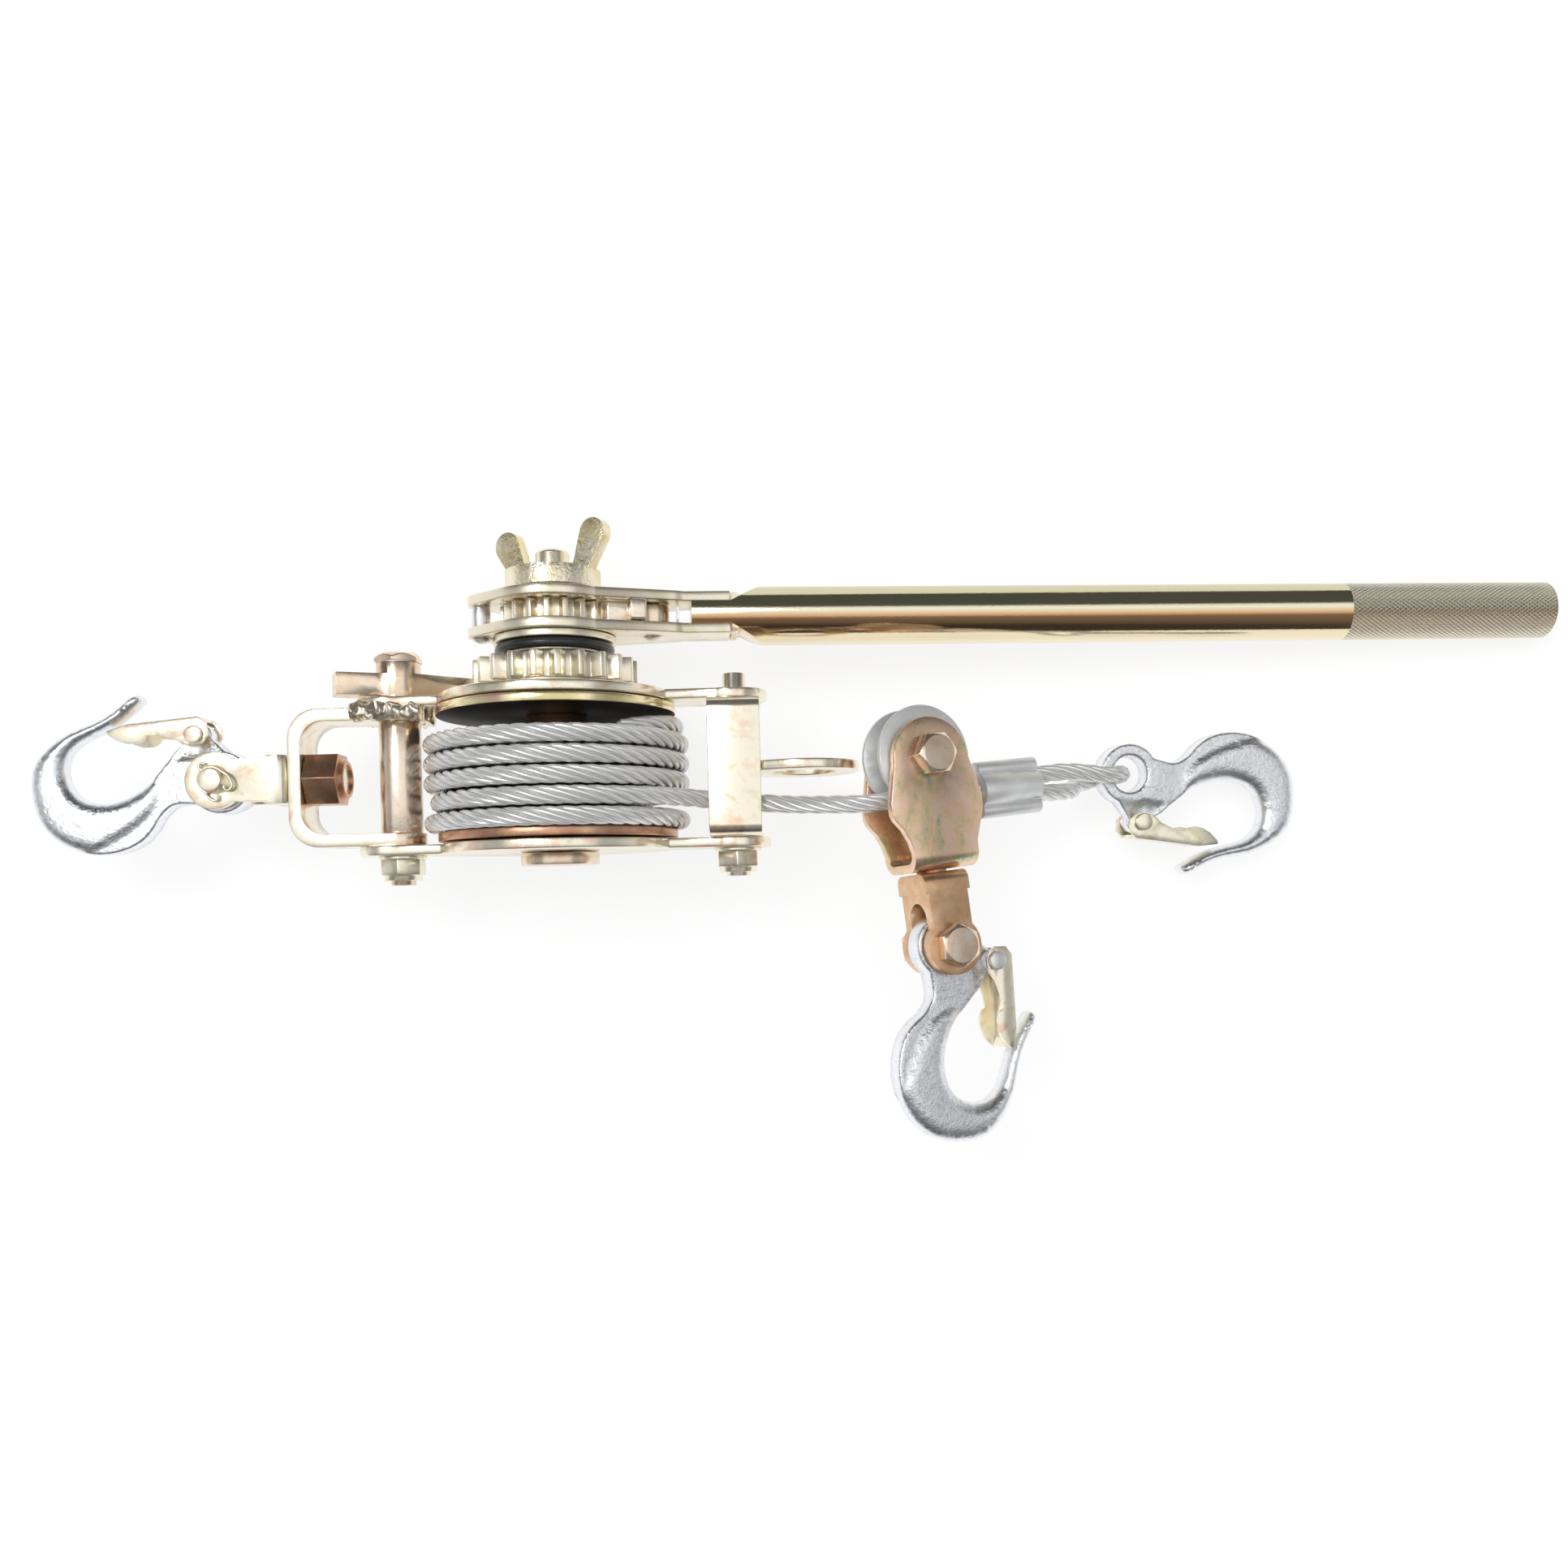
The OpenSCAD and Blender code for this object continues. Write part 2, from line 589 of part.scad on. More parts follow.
module handle_weld() {
    color("khaki") at_handle() for (s = [-1, 1]) translate([tongue_to, head_mid + s * head_gap / 2, -8])
        linear_extrude(16) polygon([[0, 0], [0, s * head_t * 0.85], [1.2, s * head_t * 0.95], [3.4, s * 2.7]]);
}

// ---------------------------------------------------------------- clevis
slot_w = hook_t + 1;
ear_t = 5;
clevis_r = 11.5;
clevis_l = 29.5;
clevis_w = slot_w + 2 * ear_t;
clevis_neck = 8.6;
clevis_base = 9.8;
slot_end = eye_r + 5;
// pin centre at the origin, base towards +X, pin along Z
module clevis(stud) {
    corner = 4;
    difference() {
        union() {
            intersection() {
                translate([0, 0, -clevis_w / 2]) linear_extrude(clevis_w) {
                    circle(r=clevis_r, $fn=round_n);
                    translate([0, -clevis_neck]) square([clevis_l, 2 * clevis_neck]);
                    translate([clevis_l - 8, -clevis_base]) square([8, 2 * clevis_base]);
                }
                translate([0, 20, 0]) rotate([90, 0, 0]) linear_extrude(40) {
                    translate([-20, -clevis_w / 2]) square([20 + clevis_l - corner, clevis_w]);
                    translate([0, corner - clevis_w / 2]) square([clevis_l, clevis_w - 2 * corner]);
                    for (s = [-1, 1]) translate([clevis_l - corner, s * (clevis_w / 2 - corner)])
                        circle(r=corner, $fn=round_n);
                }
            }
            translate([clevis_l - 0.1, 0, 0]) rotate([0, 90, 0]) cylinder(r=stud_r, h=stud + 0.1, $fn=round_n);
        }
        translate([0, 20, 0]) rotate([90, 0, 0]) linear_extrude(40) {
            translate([-20, -slot_w / 2]) square([20 + slot_end - slot_w / 2, slot_w]);
            translate([slot_end - slot_w / 2, 0]) circle(d=slot_w, $fn=round_n);
        }
        translate([0, 0, -clevis_w]) cylinder(r=pin_r, h=2 * clevis_w, $fn=round_n);
    }
}

// ---------------------------------------------------------------- hook and latch
// eye at the origin, length along +X, opening towards +Y
latch_at = [8.7, 19.1];
hook_line = [[8, -10], [16, -8.8], [20, -9.6], [24.5, -13.5], [28.1, -19.2], [33, -24], [40.3, -27.3],
    [48.8, -28.6], [58.3, -27.3], [66.3, -23.6], [72.5, -18], [76.7, -9.5], [78.2, 1], [77, 8],
    [73.2, 13.8], [67.5, 18.8], [60, 23], [50.4, 26.6], [43, 31], [38.2, 35], [35.3, 36.6], [32.6, 36.2],
    [31.6, 34], [34, 31.5], [38.5, 27.6], [44.5, 23.6], [51.5, 20.2], [58, 16.8], [62, 12.8], [63.8, 7.5],
    [63, 2], [60.5, -2.5], [56.5, -5.8], [51, -7.2], [44.5, -7], [38, -4.8], [32.2, -1.6], [27.5, 2.2],
    [23.5, 6.6], [20, 10.6], [16, 13.5], [8, 10]];
ear_half = 3.4;
module hook_layer(inset, t) {
    translate([0, 0, -t / 2]) linear_extrude(t) offset(delta=-inset) union() {
        circle(r=eye_r, $fn=round_n);
        polygon(hook_line);
    }
}
module hook(hole) {
    difference() {
        union() {
            hook_layer(0, hook_t - 5);
            hook_layer(1.2, hook_t - 2);
            hook_layer(2.6, hook_t);
            translate([0, 0, -ear_half]) linear_extrude(2 * ear_half) hull() {
                translate(latch_at) circle(r=5.5, $fn=32);
                translate([3, 8]) circle(r=4, $fn=32);
                translate([14, 9]) circle(r=4, $fn=32);
            }
        }
        translate([0, 0, -hook_t]) cylinder(r=hole, h=2 * hook_t, $fn=round_n);
        translate([latch_at[0], latch_at[1], -hook_t]) cylinder(r=2.5, h=2 * hook_t, $fn=24);
    }
}
latch_half = hook_t / 2 + 0.5;
module latch_side() {
    polygon([[-3, -3.6], [4.4, -3.8], [8, -1.4], [14, 0], [19.4, 0.4], [20.4, -1.6], [23.4, -2.9], [27, -3],
        [31, -1.7], [34, 0.2], [35.3, 1.2], [35.3, 2.4], [27.3, 4.9], [-1.7, 7.4],
        [-5, 5], [-5.6, 0]]);
}
module latch() {
    translate([latch_at[0], latch_at[1], 0]) difference() {
        union() {
            for (z = [-latch_half - latch_t, latch_half]) translate([0, 0, z]) linear_extrude(latch_t) latch_side();
            translate([0, 0, -latch_half - latch_t]) linear_extrude(2 * (latch_half + latch_t))
                polygon([[-1.7, 7.4], [-1.7, 7.4 - latch_t], [27.3, 4.9 - latch_t], [35.3, 2.4 - latch_t],
                    [35.3, 2.4], [27.3, 4.9]]);
        }
        translate([0, 0, -hook_t]) cylinder(r=2.5 + fit, h=2 * hook_t, $fn=24);
    }
}
module latch_pin(head_r, head_h) {
    far = latch_half + latch_t + clear;
    translate([latch_at[0], latch_at[1], -far]) {
        cylinder(r=2.5, h=2 * far, $fn=24);
        translate([0, 0, 2 * far]) cylinder(r=head_r, h=head_h, $fn=32);
        translate([0, 0, -1.4]) cylinder(r=3.2, h=1.4, $fn=32);
    }
}
module latch_spring() {
    translate([latch_at[0], latch_at[1], ear_half]) difference() {
        cylinder(r=4.2, h=latch_half - ear_half - clear, $fn=32);
        translate([0, 0, -1]) cylinder(r=2.5, h=9, $fn=24);
    }
}
head_across = 17.4;
module bolt_head(h) {
    face = head_across * 0.39;
    intersection() {
        cylinder(d=head_across, h=h, $fn=6);
        cylinder(r1=face + 1.7 * h, r2=face, h=h, $fn=round_n);
    }
}
module cross_pin(head_at, tail_at) {
    translate([0, 0, -tail_at]) cylinder(r=pin_r, h=head_at + tail_at, $fn=round_n);
    translate([0, 0, head_at]) bolt_head(5.6);
}

// the left end: clevis, swivel nut, pin and hook along -X
left_pin_x = bail_reach + clear + clevis_l;
stud_l = clear + bail_t + 15;
module at_left() { translate([-left_pin_x, 0, 0]) children(); }
module at_left_hook() { at_left() rotate([0, 180, 0]) children(); }
module left_clevis() { color(gold) at_left() clevis(stud_l); }
module left_swivel_nut() {
    at = bail_t + clear - bail_reach;
    color("peru") difference() {
        union() {
            translate([at, 0, 0]) rotate([0, 90, 0]) cylinder(d=23.4, h=13.4, $fn=6);
            translate([at + 13.4, 0, 0]) rotate([0, 90, 0]) cylinder(r1=9, r2=7.6, h=2.2, $fn=round_n);
        }
        translate([at - 1, 0, 0]) rotate([0, 90, 0]) cylinder(r=stud_r, h=20, $fn=round_n);
    }
}
module left_pin() {
    color("wheat") at_left() translate([0, 0, -clevis_w / 2 - 2.4]) {
        cylinder(r=pin_r, h=clevis_w + 6.6, $fn=round_n);
        cylinder(r=pin_r + 2.2, h=2.4, $fn=round_n);
    }
}
module left_pin_clip() {
    z = clevis_w / 2 + 0.8;
    color("silver") at_left() translate([0, 0, z]) {
        difference() {
            cylinder(r=pin_r + 1.4, h=1.4, $fn=round_n);
            translate([0, 0, -1]) cylinder(r=pin_r, h=4, $fn=round_n);
            translate([0, 0, -1]) rotate(-45) cube([12, 12, 4]);
        }
        translate([-4.6, 5.4, 0]) difference() {
            cylinder(r=2.4, h=1.4, $fn=32);
            translate([0, 0, -1]) cylinder(r=1.2, h=4, $fn=24);
            translate([4.6, -5.4, -1]) cylinder(r=pin_r + 1.4, h=4, $fn=round_n);
        }
    }
}
module left_hook() { color(zinc) at_left_hook() hook(pin_r + fit); }
module left_latch() { color(gold) at_left_hook() latch(); }
module left_latch_screw() { color("darkgoldenrod") at_left_hook() mirror([0, 0, 1]) latch_pin(3.6, 1.6); }
module left_latch_spring() { color("silver") at_left_hook() latch_spring(); }

// ---------------------------------------------------------------- sheave block
cheek_in = sheave_w / 2 + 1.4;
base_y = -29.6;
module cheek_outline() {
    translate([0, axis_up - 2]) circle(r=17, $fn=64);
    polygon([[-17, axis_up - 2], [-21, -2], [-21, -6.6], [-20, -9], [-17, -12.6], [-14.6, -17.4],
        [fold_from, -22], [fold_from, base_y + cheek_t], [fold_to, base_y + cheek_t], [fold_to, -20],
        [20.4, -8], [21, -2], [17, axis_up - 2]]);
}
fold_r = 6.5;
fold_from = -13.4;
fold_to = 16;
module block_plate() {
    half = cheek_in + cheek_t;
    color("tan") at_block() difference() {
        union() {
            for (z = [-half, cheek_in]) translate([0, 0, z]) linear_extrude(cheek_t) difference() {
                cheek_outline();
                translate([-30, base_y - 1]) square([60, 1 + fold_r]);
            }
            translate([fold_from, 0, 0]) rotate([90, 0, 90]) linear_extrude(fold_to - fold_from) difference() {
                union() {
                    for (s = [-1, 1]) translate([base_y + fold_r, s * (half - fold_r)]) circle(r=fold_r, $fn=round_n);
                    translate([base_y, fold_r - half]) square([fold_r, 2 * (half - fold_r)]);
                }
                translate([base_y + fold_r, -cheek_in]) square([20, 2 * cheek_in]);
                for (s = [-1, 1]) translate([base_y + fold_r, s * (half - fold_r)])
                    circle(r=fold_r - cheek_t, $fn=round_n);
                translate([base_y + cheek_t, fold_r - half]) square([20, 2 * (half - fold_r)]);
                translate([base_y + fold_r, -half]) square([20, 2 * half]);
            }
        }
        translate([0, axis_up, -half - 1]) cylinder(r=bolt_r, h=2 * half + 2, $fn=round_n);
        translate([0, base_y + 20, 0]) rotate([90, 0, 0]) cylinder(r=stud_r + fit, h=40, $fn=round_n);
    }
}
module sheave() {
    color("lightgray") at_block() translate([0, axis_up, 0]) difference() {
        rotate_extrude($fn=96) difference() {
            translate([0, -sheave_w / 2]) square([sheave_r, sheave_w]);
            hull() {
                translate([groove_r + rope_r + 0.1, 0]) circle(r=rope_r + 0.1, $fn=32);
                translate([sheave_r + 3, 0]) square([1, sheave_w - 2.6], center=true);
            }
        }
        translate([0, 0, -20]) cylinder(r=bush_out + fit, h=40, $fn=round_n);
    }
}
bush_out = 6.4;
module sheave_bush() {
    color("peru") at_block() translate([0, axis_up, -cheek_in]) difference() {
        cylinder(r=bush_out, h=2 * cheek_in, $fn=round_n);
        translate([0, 0, -1]) cylinder(r=bolt_r, h=40, $fn=round_n);
    }
}
module sheave_washers() {
    t = cheek_in - sheave_w / 2 - clear;
    color("wheat") at_block() for (z = [-cheek_in, cheek_in - t]) translate([0, axis_up, z]) difference() {
        cylinder(r=13.5, h=t, $fn=round_n);
        translate([0, 0, -1]) cylinder(r=bush_out, h=5, $fn=round_n);
    }
}
module sheave_bolt() {
    half = cheek_in + cheek_t;
    color("darkkhaki") at_block() translate([0, axis_up, 0]) {
        translate([0, 0, -half - 9]) cylinder(r=bolt_r, h=2 * half + 9, $fn=round_n);
        translate([0, 0, half]) bolt_head(6.2);
        translate([0, 0, -half - 7.6]) difference() {
            cylinder(d=nut_across, h=7.6, $fn=6);
            translate([0, 0, -1]) cylinder(r=bolt_r, h=20, $fn=round_n);
        }
    }
}

// the lower hook hangs from the block's base
lower_turn = -4;
lower_pin_y = base_y - clear * 2 - clevis_l;
module at_lower() { at_block() rotate([0, lower_turn, 0]) translate([0, lower_pin_y, 0]) rotate(-90) children(); }
head_in = 4;
module lower_clevis() {
    color("peru") at_lower() union() {
        rotate(180) clevis(clear * 2 + cheek_t + head_in);
        translate([-clevis_l - clear * 4 - cheek_t, 0, 0]) rotate([0, -90, 0]) cylinder(r=7, h=3, $fn=round_n);
    }
}
module lower_bolt() {
    color("darkkhaki") at_lower() {
        cross_pin(clevis_w / 2, clevis_w / 2 + 8.6);
        translate([0, 0, -clevis_w / 2 - 7.2]) difference() {
            cylinder(d=nut_across, h=7.2, $fn=6);
            translate([0, 0, -1]) cylinder(r=pin_r, h=20, $fn=round_n);
        }
    }
}
module lower_hook() { color(zinc) at_lower() hook(pin_r + fit); }
module lower_latch() { color(gold) at_lower() latch(); }
module lower_latch_rivet() { color("silver") at_lower() latch_pin(3.6, 1.6); }
module lower_latch_spring() { color("silver") at_lower() latch_spring(); }

// the rope's hook turns down from the line of the rope
right_turn = -13;
module at_right() { translate(rope_hook_at) rotate([0, eye_dip, right_turn]) rotate([180, 0, 0]) children(); }
module right_hook() {
    color(zinc) at_right() difference() {
        hook(rope_hole_r);
        for (s = [0, 180]) rotate([s, 0, 0]) translate([0, 0, hook_t / 2 - 3])
            cylinder(r1=rope_hole_r, r2=rope_hole_r + 4, h=4, $fn=round_n);
    }
}
module right_latch() { color(gold) at_right() latch(); }
module right_latch_screw() { color("darkgoldenrod") at_right() mirror([0, 0, 1]) latch_pin(3.6, 1.6); }
module right_latch_spring() { color("silver") at_right() latch_spring(); }

stand() {
upper_frame_plate();
lower_frame_plate();
end_bail();
bail_weld();
pawl_bolt();
pawl_bolt_tube();
guard_bolt();
eye_plate_spacers();
frame_nuts();
rope_guard();
drum_bushes();
holding_pawl_spring();
rope_run();
rope_eye();
ferrule();
drum_shaft();
drum_hub();
upper_flange();
lower_flange();
thrust_washers();
ratchet_wheel();
friction_discs();
handle_gear();
rubber_ring();
shaft_collar();
rope_core();
rope_winding();
wing_nut();
holding_pawl();
upper_head_plate();
lower_head_plate();
head_rivets();
handle_tube();
handle_weld();
feed_pawl_spring();
feed_pawl();
left_clevis();
left_swivel_nut();
left_pin();
left_pin_clip();
left_hook();
left_latch();
left_latch_screw();
left_latch_spring();
eye_plate();
block_plate();
sheave_bolt();
sheave_bush();
sheave_washers();
sheave();
lower_clevis();
lower_bolt();
lower_hook();
lower_latch();
lower_latch_rivet();
lower_latch_spring();
right_hook();
right_latch();
right_latch_screw();
right_latch_spring();
}
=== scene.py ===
# %% [markdown]
# # A come along winch
# A hand ratchet puller: a rope drum in a steel frame, a long tube handle, and three forged hooks.
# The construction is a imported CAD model. This notebook loads it as a fixed frame and gives every
# piece its surface: soft edges where a press sheared a plate, strands on the wire rope, the rounded
# section of a forging, and the yellow chromate that plated steel workshop tools wear.

# %% load the frame
import json
import math
import bmesh
import bpy
from mathutils import Matrix, Vector, geometry, kdtree, noise


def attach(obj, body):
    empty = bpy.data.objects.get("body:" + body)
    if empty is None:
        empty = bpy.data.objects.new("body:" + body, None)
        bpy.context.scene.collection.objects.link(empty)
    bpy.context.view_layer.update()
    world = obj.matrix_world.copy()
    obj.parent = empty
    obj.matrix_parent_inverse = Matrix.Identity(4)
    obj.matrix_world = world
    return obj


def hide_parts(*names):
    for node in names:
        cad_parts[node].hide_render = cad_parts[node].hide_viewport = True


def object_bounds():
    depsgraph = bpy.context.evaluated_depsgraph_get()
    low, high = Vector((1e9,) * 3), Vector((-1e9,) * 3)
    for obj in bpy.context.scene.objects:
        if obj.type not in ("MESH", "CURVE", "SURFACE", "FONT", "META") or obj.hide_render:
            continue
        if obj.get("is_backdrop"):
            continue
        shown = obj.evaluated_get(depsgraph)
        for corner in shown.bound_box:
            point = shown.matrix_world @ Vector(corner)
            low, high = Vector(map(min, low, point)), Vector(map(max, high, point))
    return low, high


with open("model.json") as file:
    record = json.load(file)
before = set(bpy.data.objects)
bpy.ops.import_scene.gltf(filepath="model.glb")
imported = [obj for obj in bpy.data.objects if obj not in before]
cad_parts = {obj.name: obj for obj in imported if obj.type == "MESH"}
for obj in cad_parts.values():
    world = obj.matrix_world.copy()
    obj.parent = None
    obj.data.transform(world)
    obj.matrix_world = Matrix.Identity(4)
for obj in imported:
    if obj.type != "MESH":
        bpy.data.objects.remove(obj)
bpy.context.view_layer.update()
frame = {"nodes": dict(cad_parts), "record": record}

# %% [markdown]
# ## Places
# The winch is drawn round the middle of its drum, in millimetres. These matrices carry a piece from
# where it is easy to draw to where it belongs: the drum, the sheave block and the three hooks.

# %% places
MM = 0.001
STAND = (-109.2, 23.9, 53.2)    # the middle of the drum
ROPE_R = 3.7
WIND_R = 50.2                   # from the drum's axis to the middle of the outer turns
TURN_PITCH = 7.85
DRUM_WIDTH = 47.3               # between the flanges
LOW_Y = -DRUM_WIDTH / 2 + ROPE_R + 0.05
HANDLE_Y = 64.35                # the handle's middle, along the drum's axis
HANDLE_TILT = 5.4
BLOCK_YAW, BLOCK_TILT, EYE_TILT = 6.5, 26, 10
LEFT_PIN_X = -137.2


def turn(degrees, axis):
    return Matrix.Rotation(math.radians(degrees), 4, axis)


drum_place = Matrix.Scale(MM, 4) @ Matrix.Translation(STAND)
handle_place = drum_place @ turn(HANDLE_TILT, "Y")
block_place = (drum_place @ Matrix.Translation((147, -14.5, 17)) @ turn(BLOCK_YAW, "Z")
               @ turn(BLOCK_TILT, "Y"))
rope_hook_middle = block_place @ Vector((104, 0, 0))
rope_hook_place = Matrix.Translation(rope_hook_middle) @ Matrix.Scale(MM, 4)
eye_place = rope_hook_place @ turn(BLOCK_YAW, "Z") @ turn(EYE_TILT, "Y")
left_pin_middle = drum_place @ Matrix.Translation((LEFT_PIN_X, 0, 0))
left_pin_place = left_pin_middle @ turn(180, "Y")
lower_pin_place = block_place @ turn(-4, "Y") @ Matrix.Translation((0, -59.9, 0)) @ turn(-90, "Z")
right_pin_place = rope_hook_place @ turn(-13, "Z") @ turn(EYE_TILT, "Y") @ turn(180, "X")
print("the rope's hook hangs at", [round(v, 3) for v in rope_hook_middle])

# %% [markdown]
# ## Camera and lamps
# A studio shot of a tool on white: one wide lens from above and large soft lamps. Bare metal shows
# its surroundings more than its lamps, so the lamps only shade the matt surfaces and stay out of
# the reflections, except the small key, whose glint runs along the soft edges.

# %% camera
FRAME = 1932            # pixels along the frame's side
SENSOR = 36
camera_data = bpy.data.cameras.new("camera")
camera_data.sensor_width = SENSOR
camera_data.lens = SENSOR * 1740 / FRAME
camera_data.shift_x = -4 / FRAME
camera_data.shift_y = 138.7 / FRAME
camera = bpy.data.objects.new("camera", camera_data)
camera.location = Vector((92.7 + STAND[0], -52.7 + STAND[1], 580 + STAND[2])) * MM
camera.rotation_euler = (0, 0, math.radians(-1.5))
bpy.context.scene.collection.objects.link(camera)
bpy.context.scene.camera = camera
print("the camera is", round(camera.location.z, 3), "m above the floor")


# %% lamps
def lamp(name, place, aim, size, power, glint=False):
    data = bpy.data.lights.new(name, "AREA")
    data.shape = "RECTANGLE"
    data.size, data.size_y = size
    data.energy = power
    thing = bpy.data.objects.new(name, data)
    thing.location = place
    thing.rotation_euler = (Vector(aim) - Vector(place)).to_track_quat("-Z", "Y").to_euler()
    thing.visible_glossy = glint
    bpy.context.scene.collection.objects.link(thing)


lamp("over", (-0.1, 0.3, 1.3), (0, 0, 0), (1.4, 1.0), 12)
lamp("fill", (0.8, -0.6, 0.9), (0.05, 0, 0), (0.7, 0.7), 3)
lamp("key", (-0.5, 0.35, 1.2), (0, 0, 0), (0.4, 0.4), 3, glint=True)
bpy.context.scene.view_settings.view_transform = "Standard"
print("three lamps")

# %% [markdown]
# ## Shader sums
# A finish is mostly arithmetic on noise. Wrapping a socket in a small class lets that arithmetic be
# written as Python expressions, and one method makes every other kind of node.


# %% shader helpers
class Wire:
    """An output socket that can be added, multiplied and compared."""

    def __init__(self, tree, socket):
        self.tree, self.socket = tree, socket

    def math(self, operation, *others):
        return self.tree.node("ShaderNodeMath", {"operation": operation}, self, *others)

    def __add__(self, other):
        return self.math("ADD", other)

    def __sub__(self, other):
        return self.math("SUBTRACT", other)

    def __rsub__(self, other):
        return self.tree.node("ShaderNodeMath", {"operation": "SUBTRACT"}, other, self)

    def __mul__(self, other):
        return self.math("MULTIPLY", other)

    def __gt__(self, other):
        return self.math("GREATER_THAN", other)

    def __lt__(self, other):
        return self.math("LESS_THAN", other)

    __radd__ = __add__
    __rmul__ = __mul__

    def ramp(self, *stops):
        """A colour ramp; a stop is a place and a colour or a grey."""
        made = self.tree.new("ShaderNodeValToRGB")
        elements = made.color_ramp.elements
        while len(elements) < len(stops):
            elements.new(0.5)
        for element, (place, tone) in zip(elements, stops):
            element.position = place
            element.color = (*tone, 1) if isinstance(tone, tuple) else (tone, tone, tone, 1)
        self.tree.join(self, made.inputs[0])
        return Wire(self.tree, made.outputs[0])


class Nodes:
    """A node tree, and one way to add any node to it."""

    def __init__(self, tree):
        self.tree = tree

    def new(self, kind):
        return self.tree.nodes.new(kind)

    def join(self, value, socket):
        if isinstance(value, Wire):
            self.tree.links.new(value.socket, socket)
        else:
            socket.default_value = value

    def node(self, kind, settings, *values, out=0, **named):
        """A node of any kind: its settings, then values or links for its inputs."""
        made = self.new(kind)
        for key, value in settings.items():
            setattr(made, key, value)
        for socket, value in zip(made.inputs, values):
            self.join(value, socket)
        for key, value in named.items():
            self.join(value, made.inputs[key.replace("_", " ")])
        return Wire(self, made.outputs[out])

    def split(self, vector):
        """The three numbers of a vector."""
        made = self.new("ShaderNodeSeparateXYZ")
        self.join(vector, made.inputs[0])
        return [Wire(self, socket) for socket in made.outputs]

    def mix(self, factor, first, second, blend="MIX"):
        made = self.new("ShaderNodeMix")
        made.data_type, made.blend_type = "RGBA", blend
        for value, socket in zip((factor, first, second), (made.inputs[0], made.inputs[6], made.inputs[7])):
            value = (*value, 1) if isinstance(value, tuple) and len(value) == 3 else value
            self.join(value, socket)
        return Wire(self, made.outputs[2])

    def rays(self):
        """The glossy rays, and all the rays that find the white room."""
        path = self.new("ShaderNodeLightPath")
        camera_ray, glossy_ray, clear_ray = (Wire(self, path.outputs[name]) for name in
                                             ("Is Camera Ray", "Is Glossy Ray", "Is Transmission Ray"))
        return glossy_ray, camera_ray.math("MAXIMUM", glossy_ray).math("MAXIMUM", clear_ray)


class Finish(Nodes):
    """A material and its node tree."""

    def __init__(self, name, roughness=0.4, metallic=0.0):
        self.material = bpy.data.materials.new(name)
        self.material.use_nodes = True
        super().__init__(self.material.node_tree)
        self.shader = self.tree.nodes["Principled BSDF"]
        self.shader.inputs["Roughness"].default_value = roughness
        self.shader.inputs["Metallic"].default_value = metallic

    def local(self, origin, turned=(0, 0, 0)):
        """Object coordinates in millimetres from an origin, along turned axes."""
        where = Wire(self, self.new("ShaderNodeTexCoord").outputs["Object"])
        return self.node("ShaderNodeMapping", {"vector_type": "TEXTURE"}, where,
                         Location=[v * MM for v in origin], Rotation=[math.radians(v) for v in turned],
                         Scale=(MM, MM, MM))

    def place(self, scale=(1, 1, 1)):
        """Object coordinates, stretched by scale."""
        where = Wire(self, self.new("ShaderNodeTexCoord").outputs["Object"])
        return self.node("ShaderNodeMapping", {}, where, Scale=scale)

    def noise(self, size, detail=4, roughness=0.55, distortion=0.0, stretch=(1, 1, 1)):
        """Noise whose features are about size millimetres wide."""
        return self.node("ShaderNodeTexNoise", {}, self.place(stretch), Scale=1000 / size, Detail=detail,
                         Roughness=roughness, Distortion=distortion)

    def bump(self, height, depth):
        """Height from 0 to 1 stands for depth millimetres."""
        made = self.new("ShaderNodeBump")
        made.inputs["Strength"].default_value = 1.0
        made.inputs["Distance"].default_value = depth * MM
        self.join(height, made.inputs["Height"])
        return Wire(self, made.outputs[0])

    def set(self, **sockets):
        for key, value in sockets.items():
            self.join(value, self.shader.inputs[key.replace("_", " ")])
        return self.material


# %% [markdown]
# ## The white surround and its dark cards
# Polished metal is a picture of the room. To the camera the room is plain white, but the reflections
# get what a studio hangs round shiny tools: white overhead, a dark card on the far side, one on the
# near side that falls from grey to black, and grey at the two ends. They give a round tube its light
# and dark bands.


# %% surround
def surround():
    world = bpy.data.worlds.new("studio")
    bpy.context.scene.world = world
    world.use_nodes = True
    sky = Nodes(world.node_tree)
    x, y, z = sky.split(Wire(sky, sky.new("ShaderNodeTexCoord").outputs["Generated"]))
    cards = (y * 0.5 + 0.5).ramp((0.0, 0.02), (0.06, 0.03), (0.12, 0.14), (0.34, 0.28),
                                 (0.40, 1.0), (0.67, 1.0), (0.72, 0.06), (1.0, 0.06))
    sides = x.math("ABSOLUTE").ramp((0.0, 1.0), (0.62, 1.0), (0.72, 0.32), (0.92, 0.42), (1.0, 0.7))
    cards = sky.mix(1.0, cards, sides, "MULTIPLY")
    glossy_ray, shown = sky.rays()
    background = sky.tree.nodes["Background"]
    sky.join(sky.mix(glossy_ray, (1, 1, 1), cards), background.inputs["Color"])
    sky.join(shown * 0.5 + 0.5, background.inputs["Strength"])


surround()
print("a white room with dark cards")

# %% [markdown]
# ## The floor
# A white sheet lies under the tool. Its own glow reaches the camera and the reflections, mixed with
# a share of plain matt shading, which keeps a faint soft shadow.


